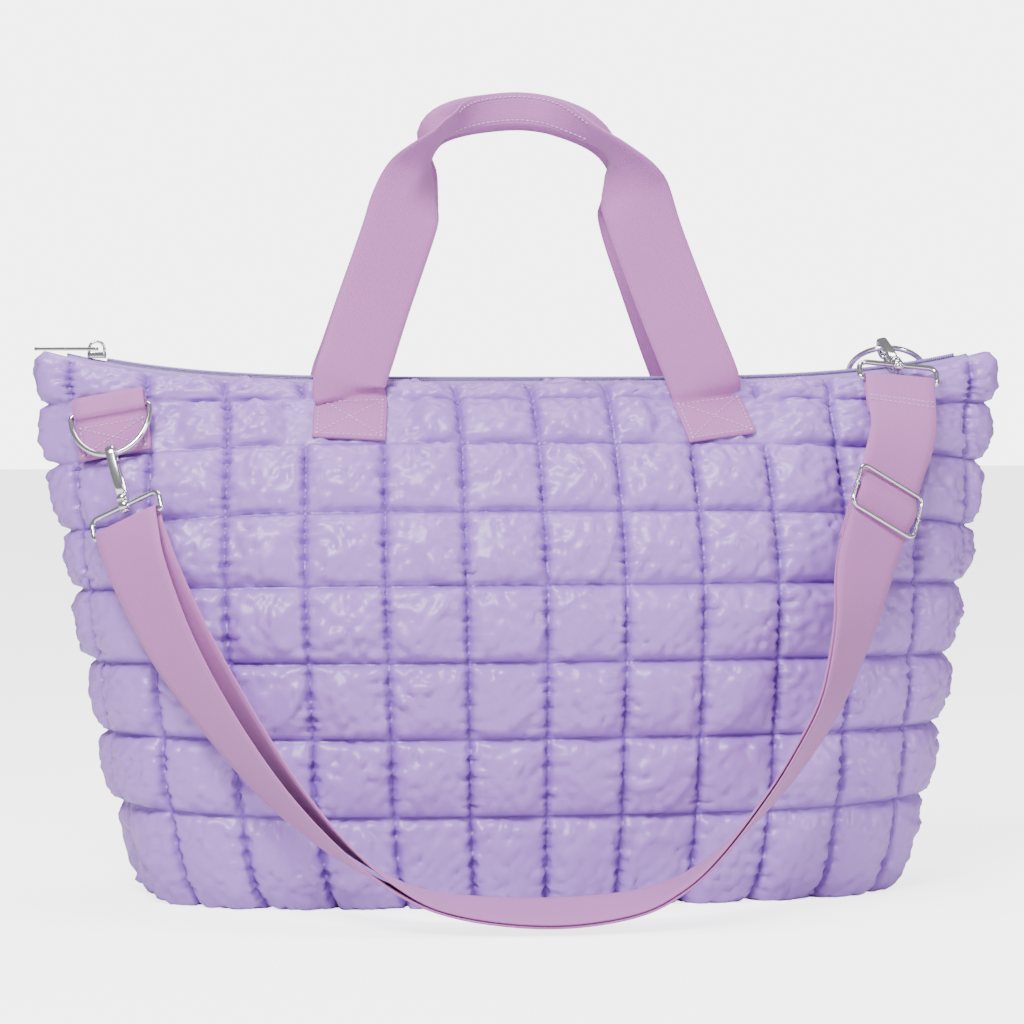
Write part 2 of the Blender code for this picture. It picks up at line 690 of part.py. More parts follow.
def on_strap(along, out):
    """Point at a distance along the strap's middle line and out from it, with the far direction."""
    inside = min(max(along, 0.0), STRAP_LENGTH)
    pick = [np.array([np.interp(inside, AT, values[:, k]) for k in range(3)])
            for values in (STRAP_POINTS, STRAP_RUN, STRAP_NORMAL, STRAP_FAR)]
    point, run, normal, far = pick
    return point + unit(run) * (along - inside) + unit(normal) * out, unit(far)


def half_turn(centre, radius, start, stop, count):
    turns = [math.radians(start + (stop - start) * k / (count - 1)) for k in range(count)]
    return [(centre[0] + radius * math.cos(a), centre[1] + radius * math.sin(a)) for a in turns]


def shoulder_strap():
    t = WEB_THICK
    step = t + GAP
    wrap = EYE_WIRE + GAP + t / 2
    loop = BAR_RADIUS + GAP + t / 2
    bar = STRAP_LENGTH - ADJUSTER_BACK
    close = step / 2

    def rise(along):
        """How far the front layer climbs over the cross bar."""
        share = max(0.0, 1 - abs(along - bar) / FRAME_RISE)
        return (loop + step - close) * (0.5 - 0.5 * math.cos(math.pi * share))

    def spread(along):
        return max(np.interp(along, AT, STRAP_SPREAD), step)

    path = [(STRAP_LENGTH - 0.026, -close), (STRAP_LENGTH - 0.016, -close)]
    path += [(STRAP_LENGTH - 0.008, -close - 0.0006)]
    path += half_turn((STRAP_LENGTH, 0.0), wrap, -90, 90, 7)
    path += [(STRAP_LENGTH - 0.008, close + 0.0006), (STRAP_LENGTH - 0.016, close)]
    front = []
    for along in np.arange(STRAP_LENGTH - 0.026, 0.012, -0.0125):
        if abs(along - bar) > FRAME_RISE + 0.004:
            front.append((along, close))
    front += [(bar + FRAME_RISE * k / 4, close + rise(bar + FRAME_RISE * k / 4)) for k in range(-5, 6)]
    front.sort(reverse=True)
    path += front
    path += [(0.006, wrap - 0.0004)]
    path += half_turn((0.0, 0.0), wrap, 90, 270, 7)
    path += [(0.006, -wrap - 0.0004)]
    back = []
    for along in np.arange(0.015, bar - FRAME_RISE - 0.006, 0.0125):
        back.append((along, close - spread(along)))
    back += [(bar + FRAME_RISE * k / 4, close - step + rise(bar + FRAME_RISE * k / 4))
             for k in range(-5, 0)]
    path += back
    path += half_turn((bar, 0.0), loop, 90, -90, 7)
    path += [(bar - 0.005, -close - step), (bar - 0.012, -close - step), (bar - 0.020, -close - step),
             (bar - 0.028, -close - step)]
    path = np.array(path)
    run = tangents(path)
    half = WEB_WIDTH / 2
    sections = []
    for (along, out), (da, dn) in zip(path, run):
        outer, far = on_strap(along - dn * t / 2, out + da * t / 2)
        inner, _ = on_strap(along + dn * t / 2, out - da * t / 2)
        sections.append([inner - far * half, outer - far * half, outer + far * half, inner + far * half])
    return loft("shoulder_strap", sections, ((0.53, 0.31, 0.53), 0.75))


def adjuster():
    bar = STRAP_LENGTH - ADJUSTER_BACK
    lift = WEB_THICK + 3 * GAP + FRAME_WIRE
    corner = 0.0040
    flat = []
    for sx, sy, start in ((1, 1, 0), (-1, 1, 90), (-1, -1, 180), (1, -1, 270)):
        for k in range(4):
            a = math.radians(start + 30 * k)
            flat.append((sx * (FRAME_HALF - corner) + corner * math.cos(a),
                         sy * (FRAME_RISE - corner) + corner * math.sin(a)))
    centre, far = on_strap(bar, lift)
    ahead, _ = on_strap(bar + 0.01, lift)
    behind, _ = on_strap(bar - 0.01, lift)
    run = unit(ahead - behind)
    line = [centre + far * u + run * v for u, v in flat]
    tube("adjuster_frame", line, FRAME_WIRE, 6, CHROME, closed=True, up=np.cross(far, run))
    middle, _ = on_strap(bar, 0.0)
    reach = FRAME_HALF - FRAME_WIRE - GAP
    tube("adjuster_bar", [middle - far * reach, middle, middle + far * reach], BAR_RADIUS, 8, CHROME,
         up=run)


body()
zip_tape("zip_tape_front", -1)
zip_tape("zip_tape_back", 1)
zip_coil()
zip_slider()
zip_pull()
handle("handle_front", False)
handle("handle_back", True)
ring_tab_left()
ring_tab_right()
tube("d_ring_left", LEFT_RING, RING_WIRE, 6, CHROME, closed=True, up=LEFT_TAB[3])
tube("d_ring_right", RIGHT_RING, RING_WIRE, 6, CHROME, closed=True, up=np.cross(RIGHT_SIDE, RIGHT_FALL))
shoulder_strap()
adjuster()

for label, along, ring, wire in (("left", 0.0, LEFT_RING, LEFT_TAB[1]),
                                 ("right", STRAP_LENGTH, RIGHT_RING, -RIGHT_SIDE)):
    centre, far = on_strap(along, 0.0)
    away = 0.01 if along else -0.01
    run = unit(on_strap(along + away, 0.0)[0] - centre)
    lowest = np.array(ring[len(ring) // 2])
    frame = hook_frame(centre + run * EYE_RISE, lowest, wire)
    hook("hook_" + label, frame)
    gate("gate_" + label, frame)
    eye("eye_" + label, frame, (centre, far, -run))
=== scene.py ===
"""Quilted overnight bag with folded webbing handles and a clip-on shoulder strap."""
import math

import bpy
import bmesh
import numpy as np
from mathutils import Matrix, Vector, noise


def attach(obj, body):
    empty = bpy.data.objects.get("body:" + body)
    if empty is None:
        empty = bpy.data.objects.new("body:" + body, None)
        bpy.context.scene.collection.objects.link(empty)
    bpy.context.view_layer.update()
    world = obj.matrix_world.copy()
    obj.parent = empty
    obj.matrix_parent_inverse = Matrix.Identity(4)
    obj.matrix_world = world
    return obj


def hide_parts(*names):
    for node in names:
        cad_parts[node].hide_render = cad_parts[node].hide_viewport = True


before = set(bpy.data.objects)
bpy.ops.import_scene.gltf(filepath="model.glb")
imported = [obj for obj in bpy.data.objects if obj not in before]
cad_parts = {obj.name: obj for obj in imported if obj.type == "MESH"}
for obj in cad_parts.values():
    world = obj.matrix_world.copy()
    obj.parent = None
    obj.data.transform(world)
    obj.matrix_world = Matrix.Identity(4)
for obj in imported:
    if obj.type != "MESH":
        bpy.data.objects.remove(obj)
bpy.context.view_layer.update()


# Shell: glossy nylon over padding, quilted in square cells, sewn along every seam and gathered
# on the upright ones. One skin goes from the flat base up to the rim that holds the zip.

# Columns: height at the front, height at the ends, half length, half depth, squareness
RINGS = np.array((
    (0.000, 0.000, 0.186, 0.066, 3.4),
    (0.010, 0.010, 0.200, 0.079, 3.2),
    (0.048, 0.051, 0.216, 0.084, 2.8),
    (0.089, 0.089, 0.224, 0.087, 2.5),
    (0.129, 0.126, 0.231, 0.088, 2.35),
    (0.169, 0.164, 0.238, 0.085, 2.25),
    (0.207, 0.195, 0.244, 0.072, 2.2),
    (0.242, 0.230, 0.2505, 0.053, 2.1),
    (0.264, 0.262, 0.2560, 0.031, 2.4),
    (0.2715, 0.290, 0.2575, 0.0125, 5.0),
))
COLUMNS = 26
RIM_ROW = len(RINGS) - 1
WALL = 0.004


def unit(vectors):
    return vectors / np.maximum(np.linalg.norm(vectors, axis=-1, keepdims=True), 1e-12)


def blend_rows(four, t):
    """Catmull-Rom point between the middle two of four rows."""
    a, b, c, d = four
    return 0.5 * (2 * b + (c - a) * t + (2 * a - 5 * b + 4 * c - d) * t ** 2
                  + (3 * b - a - 3 * c + d) * t ** 3)


def skin_row(row, columns, inset=0.0):
    """Points of the seam surface at one row, for columns counted from the front centre."""
    low = min(int(row), RIM_ROW - 1)
    ends = np.vstack((2 * RINGS[0] - RINGS[1], RINGS, 2 * RINGS[-1] - RINGS[-2]))
    z_front, z_side, half_length, half_depth, squareness = blend_rows(ends[low:low + 4], row - low)
    turn = np.linspace(-math.pi / 2, 3 * math.pi / 2, 1441)
    cosine = np.cos(turn)
    sine = np.sin(turn)
    x = (half_length - inset) * np.sign(cosine) * np.abs(cosine) ** (2 / squareness)
    y = (half_depth - inset) * np.sign(sine) * np.abs(sine) ** (2 / squareness)
    run = np.concatenate(([0.0], np.cumsum(np.hypot(np.diff(x), np.diff(y)))))
    at = ((np.asarray(columns, float) / COLUMNS) % 1.0) * run[-1]
    flat = np.stack((np.interp(at, run, x), np.interp(at, run, y)), axis=-1)
    share = (np.abs(flat[:, 0]) / half_length) ** 4
    return np.column_stack((flat, z_front + (z_side - z_front) * share))


def skin_point(column, row):
    """Point, outward normal and upward direction of the seam surface."""
    step = 0.04
    here = skin_row(row, [column])[0]
    side = unit(skin_row(row, [column + step])[0] - skin_row(row, [column - step])[0])
    above = skin_row(min(row + step, RIM_ROW), [column])[0]
    up = unit(above - skin_row(max(row - step, 0.0), [column])[0])
    return here, unit(np.cross(side, up)), up


def linked(name, data):
    made = bpy.data.objects.new(name, data)
    bpy.context.scene.collection.objects.link(made)
    return made


def plain_mesh(name, points, faces):
    mesh = bpy.data.meshes.new(name)
    mesh.from_pydata([tuple(p) for p in points], [], faces)
    mesh.update()
    mesh.polygons.foreach_set("use_smooth", [True] * len(mesh.polygons))
    return linked(name, mesh)


def from_bmesh(name, bm):
    mesh = bpy.data.meshes.new(name)
    bm.to_mesh(mesh)
    bm.free()
    return linked(name, mesh)


HANDLE_COLUMN = 2.45
LEFT_TAB_COLUMN = -5.45
RIGHT_TAB_COLUMN = COLUMNS / 2 - 5.15


def sewn_flat(column, row):
    """How far webbing that is sewn on presses the puff of the top full row, from 0 to 1."""
    sewn = [HANDLE_COLUMN, -HANDLE_COLUMN, COLUMNS / 2 + HANDLE_COLUMN, COLUMNS / 2 - HANDLE_COLUMN,
            LEFT_TAB_COLUMN, RIGHT_TAB_COLUMN]
    away = np.min([np.abs((column - at + COLUMNS / 2) % COLUMNS - COLUMNS / 2) for at in sewn], axis=0)
    press = np.clip((1.05 - away) / 0.25, 0.0, 1.0)
    return press * np.clip((row - 6.95) / 0.1, 0.0, 1.0) * np.clip((8.12 - row) / 0.1, 0.0, 1.0)


def doubled(columns, rows, grid):
    """The same closed grid with a smooth station added between every two, both ways."""
    wide = np.empty((grid.shape[0], grid.shape[1] * 2, 3))
    wide[:, ::2] = grid
    wide[:, 1::2] = (9 * (grid + np.roll(grid, -1, axis=1)) - np.roll(grid, 1, axis=1)
                     - np.roll(grid, -2, axis=1)) / 16
    high = np.empty((wide.shape[0] * 2 - 1, wide.shape[1], 3))
    high[::2] = wide
    high[1::2] = (wide[:-1] + wide[1:]) / 2
    high[3:-3:2] = (9 * (wide[1:-2] + wide[2:-1]) - wide[:-3] - wide[3:]) / 16
    fine_columns = np.arange(len(columns) * 2) * (columns[1] - columns[0]) / 2
    fine_rows = np.interp(np.arange(len(rows) * 2 - 1) / 2, np.arange(len(rows)), rows)
    return fine_columns, fine_rows, high


def crushed(place):
    """Height of the thin nylon's crumples at a place, in metres."""
    warp = place * 20.0
    bent = place * 21.0 + Vector((noise.noise(warp), noise.noise(warp + Vector((7, 0, 0))),
                                  noise.noise(warp + Vector((0, 7, 0))))) * 1.1
    sharp = 0.5 - abs(noise.noise(bent))
    small = 0.5 - abs(noise.noise(bent * 2.1 + Vector((3, 3, 3))))
    return 0.0088 * sharp ** 2 + 0.0010 * small ** 2


def quads(rows, count):
    """Faces of a grid that closes on itself sideways."""
    faces = []
    for i in range(rows - 1):
        for j in range(count):
            n = (j + 1) % count
            faces.append((i * count + j, i * count + n, (i + 1) * count + n, (i + 1) * count + j))
    return faces


def shell():
    across = 13
    upward = 12
    zoom = 10.0
    steps = 16
    furthest = 0.014
    columns = np.arange(COLUMNS * across) / across
    low_rows = np.arange(6) / 6
    rows = np.concatenate((low_rows, 1 + np.arange((RIM_ROW - 1) * upward + 1) / upward))
    base = np.array([skin_row(row, columns) for row in rows])
    side = np.roll(base, -1, axis=1) - np.roll(base, 1, axis=1)
    rise = np.gradient(base, axis=0)
    normal = unit(np.cross(side, rise))
    grid_row, grid_column = np.meshgrid(rows, columns, indexing="ij")
    in_row = np.sin(math.pi * np.where(grid_row < 2.0, grid_row / 2, grid_row % 1.0))
    in_column = np.sin(math.pi * (grid_column % 1.0))
    held = (in_row < 0.02) | (in_column < 0.02) | (grid_row > RIM_ROW - 0.12)
    flat = sewn_flat(grid_column, grid_row)
    puff = 0.0055 * np.sqrt(np.clip(in_row * in_column, 0.0, 1.0)) * (1 - flat)
    puff[grid_row > 8.0] *= 0.7
    rng = np.random.default_rng(4)
    start = base + normal * puff[..., None]
    start += normal * (rng.normal(0, 0.0007, puff.shape) * ~held)[..., None]

    circle = np.linalg.norm(np.roll(base, -1, axis=1) - base, axis=2).sum(axis=1)
    length = np.concatenate((np.zeros((1, len(columns))),
                             np.cumsum(np.linalg.norm(np.diff(base, axis=0), axis=2), axis=0)))
    gather_up = 1.32
    gather_round = 1.10
    angle = math.tau * columns / COLUMNS
    radius = circle[:, None] * gather_round / math.tau
    rest = np.stack((radius * np.cos(angle), radius * np.sin(angle), length * gather_up), axis=2)

    cloth = plain_mesh("shell_cloth", start.reshape(-1, 3) * zoom, quads(len(rows), len(columns)))
    cloth.shape_key_add(name="Basis")
    cut = cloth.shape_key_add(name="cut")
    cut.data.foreach_set("co", (rest.reshape(-1, 3) * zoom).ravel())
    group = cloth.vertex_groups.new(name="sewn")
    group.add([int(k) for k in np.nonzero(held.ravel() | (flat.ravel() > 0.5))[0]], 1.0, "REPLACE")
    sim = cloth.modifiers.new("quilting", "CLOTH")
    for key, value in {
            "quality": 5, "mass": 0.2, "tension_stiffness": 20, "compression_stiffness": 12,
            "shear_stiffness": 6, "bending_stiffness": 0.01, "tension_damping": 5,
            "compression_damping": 5, "shear_damping": 5, "bending_damping": 0.5, "air_damping": 2,
            "use_pressure": True, "uniform_pressure_force": 6, "vertex_group_mass": "sewn",
            "rest_shape_key": cut}.items():
        setattr(sim.settings, key, value)
    sim.settings.effector_weights.gravity = 0
    sim.collision_settings.use_collision = False
    sim.point_cache.frame_start = 1
    sim.point_cache.frame_end = steps
    scene = bpy.context.scene
    for number in range(1, steps + 1):
        scene.frame_set(number)
    done = cloth.evaluated_get(bpy.context.evaluated_depsgraph_get())
    moved = np.empty(len(done.data.vertices) * 3)
    done.data.vertices.foreach_get("co", moved)
    moved = moved.reshape(-1, 3) / zoom
    scene.frame_set(1)
    bpy.data.objects.remove(cloth, do_unlink=True)
    shift = moved - base.reshape(-1, 3)
    size = np.linalg.norm(shift, axis=1, keepdims=True)
    shift *= np.minimum(1.0, furthest / np.maximum(size, 1e-9))
    moved = (base.reshape(-1, 3) + shift).reshape(*base.shape)

    columns, rows, moved = doubled(columns, rows, moved)
    grid_row, grid_column = np.meshgrid(rows, columns, indexing="ij")
    upright = np.minimum(grid_column % 1.0, 1 - grid_column % 1.0)
    level = np.minimum(grid_row % 1.0, 1 - grid_row % 1.0)
    level = np.where(grid_row < 2.0, np.minimum(grid_row, 2.0 - grid_row), level)
    side = np.roll(moved, -1, axis=1) - np.roll(moved, 1, axis=1)
    normal = unit(np.cross(side, np.gradient(moved, axis=0)))
    flat = sewn_flat(grid_column, grid_row)
    free = (1 - flat) * np.clip(grid_row * 3, 0.0, 1.0) * np.clip((RIM_ROW - grid_row) * 6, 0.0, 1.0)

    # Gathers: short creases that run out from the upright seams, of uneven length and strength
    nearest = np.round(grid_column) % COLUMNS
    gather = np.zeros_like(upright)
    for lines_per_cell, strength in ((5.3, 0.0010), (8.7, 0.0006)):
        phase = rng.uniform(0, math.tau, COLUMNS)[nearest.astype(int)]
        slant = rng.normal(0, 5.0, (len(rows), COLUMNS))
        slant = np.stack([np.convolve(slant[:, k], np.ones(9) / 9, "same") for k in range(COLUMNS)],
                         axis=1)
        bend = slant[np.arange(len(rows))[:, None], nearest.astype(int)]
        gather += strength * np.sin(math.tau * grid_row * lines_per_cell + phase + bend + upright * 3.0)
    reach = 0.13 + 0.05 * np.sin(grid_row * 7.0 + nearest * 2.4)
    gather *= np.exp(-(upright / reach) ** 1.6) * np.clip(level / 0.08, 0.0, 1.0)
    crumple = np.array([[crushed(Vector(p)) for p in line] for line in moved])
    puffed = np.clip(np.minimum(upright, level) / 0.16, 0.0, 1.0)
    crease = 0.0016 * np.exp(-(upright / 0.035) ** 2) + 0.0012 * np.exp(-(level / 0.035) ** 2)
    moved = moved + normal * ((gather + crumple * puffed - crease) * free)[..., None]
    moved[..., 2] = np.maximum(moved[..., 2], 0.0)
    # Painted shade: nearness to the sewn seams, kept as a point attribute, later darkens the nylon's base
    # colour in the quilting's creases, where shadow falls between the puffs.
    seam_shade = np.maximum(np.exp(-(upright / 0.035) ** 2), np.exp(-(level / 0.03) ** 2) * (grid_row > 1.0))
    seam_shade = list((seam_shade * (grid_row < RIM_ROW - 0.05) * (1 - flat)).ravel())

    # The rim turns in and down behind the zip tapes
    points = list(moved.reshape(-1, 3))
    hem = ((RIM_ROW, 0.35), (RIM_ROW, 1.0), (RIM_ROW - 0.4, 1.0), (RIM_ROW - 0.9, 1.0))
    for row, depth in hem:
        ring = skin_row(row, columns, WALL * depth)
        if depth < 1.0:
            ring[:, 2] += 0.0006
        points.extend(ring)
        seam_shade.extend([0.0] * len(columns))
    faces = quads(len(rows) + len(hem), len(columns)) + [tuple(reversed(range(len(columns))))]
    made = plain_mesh("shell", points, faces)
    made.data.attributes.new("seam_shade", "FLOAT", "POINT").data.foreach_set("value", seam_shade)
    return made


body = shell()


class Value:
    """A shader output that can be added, multiplied and so on."""

    def __init__(self, tree, socket):
        self.tree = tree
        self.socket = socket

    def math(self, operation, *others):
        node = self.tree.nodes.new("ShaderNodeMath")
        node.operation = operation
        for value, socket in zip((self, *others), node.inputs):
            plug(self.tree, value, socket)
        return Value(self.tree, node.outputs[0])

    def __add__(self, other):
        return self.math("ADD", other)

    def __sub__(self, other):
        return self.math("SUBTRACT", other)

    def __mul__(self, other):
        return self.math("MULTIPLY", other)

    def __pow__(self, other):
        return self.math("POWER", other)


def plug(tree, value, socket):
    """A shader output is linked, and anything else becomes the socket's own value."""
    if isinstance(value, Value):
        tree.links.new(value.socket, socket)
    else:
        socket.default_value = value


class Look:
    """A Principled material whose varying values are built by name."""

    def __init__(self, name, colour, roughness, metallic=0.0):
        self.material = bpy.data.materials.new(name)
        self.material.use_nodes = True
        self.tree = self.material.node_tree
        self.shader = self.tree.nodes["Principled BSDF"]
        self.put("Base Color", (*colour, 1.0))
        self.put("Roughness", roughness)
        self.put("Metallic", metallic)

    def put(self, name, value):
        plug(self.tree, value, self.shader.inputs[name])

    def node(self, kind, inputs=None, output=0, **settings):
        made = self.tree.nodes.new(kind)
        for name, value in settings.items():
            setattr(made, name, value)
        for name, value in (inputs or {}).items():
            plug(self.tree, value, made.inputs[name])
        return Value(self.tree, made.outputs[output])

    def noise(self, place, scale, detail=2.0, distortion=0.0):
        return self.node("ShaderNodeTexNoise", {"Vector": place, "Scale": scale, "Detail": detail,
                                                "Distortion": distortion}, output="Fac")

    def bump(self, height, strength, distance):
        self.put("Normal", self.node("ShaderNodeBump", {"Height": height, "Strength": strength,
                                                        "Distance": distance}, output="Normal"))

    def mix(self, share, first, second):
        """Base colour between two colours."""
        made = self.tree.nodes.new("ShaderNodeMix")
        made.data_type = "RGBA"
        plug(self.tree, share, made.inputs[0])
        made.inputs[6].default_value = (*first, 1.0)
        made.inputs[7].default_value = (*second, 1.0)
        self.put("Base Color", Value(self.tree, made.outputs[2]))


def finish_piece(obj, look, node, body_name="bag", main=True):
    """Material, the CAD node that the main piece stands for, and the body that it moves with."""
    if look:
        obj.data.materials.clear()
        obj.data.materials.append(look.material)
    if main:
        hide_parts(node)
    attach(obj, body_name)


nylon = Look("nylon", (0.38, 0.20, 0.64), 0.30)
place = nylon.node("ShaderNodeTexCoord", output="Object")
crumple = nylon.noise(place, 42.0, 3.0, 1.2)
ridge = (crumple - 0.5).math("ABSOLUTE") * 2.0
crinkle = nylon.noise(place, 160.0, 3.0, 0.5)
nylon.bump(ridge * 0.9 + crinkle * 0.1, 0.32, 0.0016)
# Painted shade: along the seams the base colour turns from lilac to a deep violet, standing in for the
# shadow in the padding's creases.
nylon.mix(nylon.node("ShaderNodeAttribute", output="Fac", attribute_name="seam_shade"),
          (0.385, 0.195, 0.640), (0.17, 0.06, 0.42))
nylon.put("Roughness", nylon.noise(place, 25.0) * 0.14 + 0.29)
finish_piece(body, nylon, "bag_body")


# Zip: two woven tapes sewn inside the rim, meeting under a closed nylon coil.

ZIP_HALF = 0.2610


def rim_height(x):
    return RINGS[-1][0] + (RINGS[-1][1] - RINGS[-1][0]) * (np.abs(x) / ZIP_HALF) ** 4


def rim_inside(x):
    """Half width of the slot between the rims at x."""
    share = np.minimum(np.abs(x) / (RINGS[-1][2] - WALL), 0.999)
    return (RINGS[-1][3] - WALL) * (1 - share ** RINGS[-1][4]) ** (1 / RINGS[-1][4])


def loft(name, sections, closed=False):
    """Skin through a row of equal-count sections, capped unless it closes on itself."""
    sections = np.asarray(sections)
    rows, count = sections.shape[:2]
    faces = []
    for i in range(rows if closed else rows - 1):
        n = (i + 1) % rows
        for j in range(count):
            k = (j + 1) % count
            faces.append((i * count + j, i * count + k, n * count + k, n * count + j))
    if not closed:
        faces.append(tuple(reversed(range(count))))
        faces.append(tuple(range((rows - 1) * count, rows * count)))
    made = plain_mesh(name, sections.reshape(-1, 3), faces)
    bm = bmesh.new()
    bm.from_mesh(made.data)
    bmesh.ops.recalc_face_normals(bm, faces=bm.faces)
    bm.to_mesh(made.data)
    bm.free()
    return made


def joined(name, parts):
    """Several plain meshes as one object."""
    bm = bmesh.new()
    for part in parts:
        bm.from_mesh(part.data)
        bpy.data.objects.remove(part, do_unlink=True)
    return from_bmesh(name, bm)


tape_cloth = Look("zip_tape", (0.36, 0.24, 0.58), 0.85)
tape_cloth.put("Specular IOR Level", 0.1)
place = tape_cloth.node("ShaderNodeTexCoord", output="Object")
weave = tape_cloth.node("ShaderNodeTexWave", {"Vector": place, "Scale": 420.0, "Distortion": 0.6},
                        output="Fac", bands_direction="DIAGONAL")
tape_cloth.bump(weave, 0.4, 0.0003)
for name, side in (("zip_tape_front", -1), ("zip_tape_back", 1)):
    sections = []
    for x in np.linspace(-0.2450, 0.2450, 121):
        outside = rim_inside(x) - 0.0003
        z = rim_height(x)
        line = ((0.0004, 0.0018), (0.0030, 0.0014), (outside - 0.0012, 0.0008), (outside - 0.0009, 0.0),
                (outside - 0.0009, -0.0060), (outside - 0.0002, -0.0060), (outside - 0.0001, 0.0006),
                (outside - 0.0007, 0.0016), (0.0030, 0.0024), (0.0004, 0.0033))
        sections.append([(x, side * y, z + dz) for y, dz in line])
    finish_piece(loft(name + "_cloth", sections), tape_cloth, name)


def repeated(name, lines, spacing, size, look):
    """Small rounded pieces at an even spacing along polylines, as one plain mesh."""
    points = []
    edges = []
    for line in lines:
        start = len(points)
        points.extend(tuple(float(v) for v in p) for p in line)
        edges.extend((start + k, start + k + 1) for k in range(len(line) - 1))
    mesh = bpy.data.meshes.new(name + "_path")
    mesh.from_pydata(points, edges, [])
    carrier = linked(name + "_path", mesh)
    tree = bpy.data.node_groups.new(name, "GeometryNodeTree")
    tree.interface.new_socket("Path", in_out="INPUT", socket_type="NodeSocketGeometry")
    for label, value in (("Spacing", spacing), ("Along", size[0]), ("Across", size[1]), ("Up", size[2])):
        socket = tree.interface.new_socket(label, in_out="INPUT", socket_type="NodeSocketFloat")
        socket.default_value = value
    tree.interface.new_socket("Pieces", in_out="OUTPUT", socket_type="NodeSocketGeometry")

    def add(kind, **settings):
        made = tree.nodes.new(kind)
        for key, value in settings.items():
            setattr(made, key, value)
        return made

    into = add("NodeGroupInput")
    curve = add("GeometryNodeMeshToCurve")
    even = add("GeometryNodeResampleCurve", mode="LENGTH")
    tangent = add("GeometryNodeInputTangent")
    turn = add("FunctionNodeAlignEulerToVector", axis="X")
    ball = add("GeometryNodeMeshIcoSphere")
    ball.inputs["Radius"].default_value = 0.5
    ball.inputs["Subdivisions"].default_value = 2
    scale = add("ShaderNodeCombineXYZ")
    place_on = add("GeometryNodeInstanceOnPoints")
    real = add("GeometryNodeRealizeInstances")
    soft = add("GeometryNodeSetShadeSmooth")
    paint = add("GeometryNodeSetMaterial")
    paint.inputs["Material"].default_value = look.material
    out = add("NodeGroupOutput")
    for start, end in ((into.outputs["Path"], curve.inputs[0]), (curve.outputs[0], even.inputs["Curve"]),
                       (into.outputs["Spacing"], even.inputs["Length"]),
                       (even.outputs[0], place_on.inputs["Points"]),
                       (ball.outputs["Mesh"], place_on.inputs["Instance"]),
                       (tangent.outputs[0], turn.inputs["Vector"]),
                       (turn.outputs[0], place_on.inputs["Rotation"]),
                       (into.outputs["Along"], scale.inputs[0]),
                       (into.outputs["Across"], scale.inputs[1]), (into.outputs["Up"], scale.inputs[2]),
                       (scale.outputs[0], place_on.inputs["Scale"]),
                       (place_on.outputs[0], real.inputs[0]), (real.outputs[0], soft.inputs[0]),
                       (soft.outputs[0], paint.inputs[0]), (paint.outputs[0], out.inputs[0])):
        tree.links.new(start, end)
    carrier.modifiers.new("repeat", "NODES").node_group = tree
    done = carrier.evaluated_get(bpy.context.evaluated_depsgraph_get())
    made = linked(name, bpy.data.meshes.new_from_object(done))
    bpy.data.objects.remove(carrier, do_unlink=True)
    return made


def sew(name, lines):
    """Rows of stitches along lines that lie on a piece of webbing."""
    stitches = repeated(name + "_stitches", lines, 0.0026, (0.0020, 0.0007, 0.0007), thread)
    finish_piece(stitches, None, name, main=False)


coil_nylon = Look("zip_coil", (0.34, 0.245, 0.54), 0.38)
coil_line = [(x, 0.0, rim_height(x) + 0.0040) for x in np.linspace(-0.2236, 0.2376, 90)]
teeth = repeated("zip_coil_teeth", [coil_line], 0.0011, (0.0009, 0.0040, 0.0026), coil_nylon)
finish_piece(teeth, None, "zip_coil")
sections = []
for x, y, z in coil_line:
    sections.append([(x, 0.0008 * math.cos(a), z + 0.0002 + 0.0008 * math.sin(a))
                     for a in np.linspace(0, math.tau, 8, endpoint=False)])
finish_piece(loft("zip_coil_core", sections), coil_nylon, "zip_coil", main=False)


# Slider and pull: nickel-plated, at the left end. The pull's bar lies under the slider's bridge.

def tube(name, points, radius, sides=14, closed=False, up=(0, 1, 0)):
    """Round wire along a line. The radius may be a list, one for each point."""
    points = np.array(points, float)
    if closed:
        run = unit(np.roll(points, -1, axis=0) - np.roll(points, 1, axis=0))
    else:
        run = unit(np.gradient(points, axis=0))
    radii = np.broadcast_to(radius, len(points))
    turns = np.linspace(0, math.tau, sides, endpoint=False)
    sections = []
    for p, t, r in zip(points, run, radii):
        a = unit(np.array(up, float) - np.dot(up, t) * t)
        b = np.cross(t, a)
        sections.append([p + r * (a * math.cos(s) + b * math.sin(s)) for s in turns])
    return loft(name, sections, closed)


def turned(name, low, high, profile, sides=24, up=(1, 0, 0)):
    """Round part from one point to another, its profile as pairs of share along and radius."""
    low = np.array(low, float)
    high = np.array(high, float)
    points = [low + (high - low) * share for share, _ in profile]
    axis = unit(high - low)
    a = unit(np.array(up, float) - np.dot(up, axis) * axis)
    b = np.cross(axis, a)
    turns = np.linspace(0, math.tau, sides, endpoint=False)
    sections = [[p + max(r, 1e-5) * (a * math.cos(s) + b * math.sin(s)) for s in turns]
                for p, (_, r) in zip(points, profile)]
    return loft(name, sections)


def block(name, low, high, corner=0.0):
    """Box between two corners, its upright edges rounded."""
    low = Vector(low)
    high = Vector(high)
    bm = bmesh.new()
    for v in bmesh.ops.create_cube(bm, size=1.0)["verts"]:
        v.co = (low + high) / 2 + Vector(a * b for a, b in zip(v.co, high - low))
    if corner:
        upright = [e for e in bm.edges if abs(e.verts[0].co.z - e.verts[1].co.z) > (high.z - low.z) * 0.9]
        bmesh.ops.bevel(bm, geom=upright, offset=corner, segments=8, profile=0.5, affect="EDGES")
    return from_bmesh(name, bm)


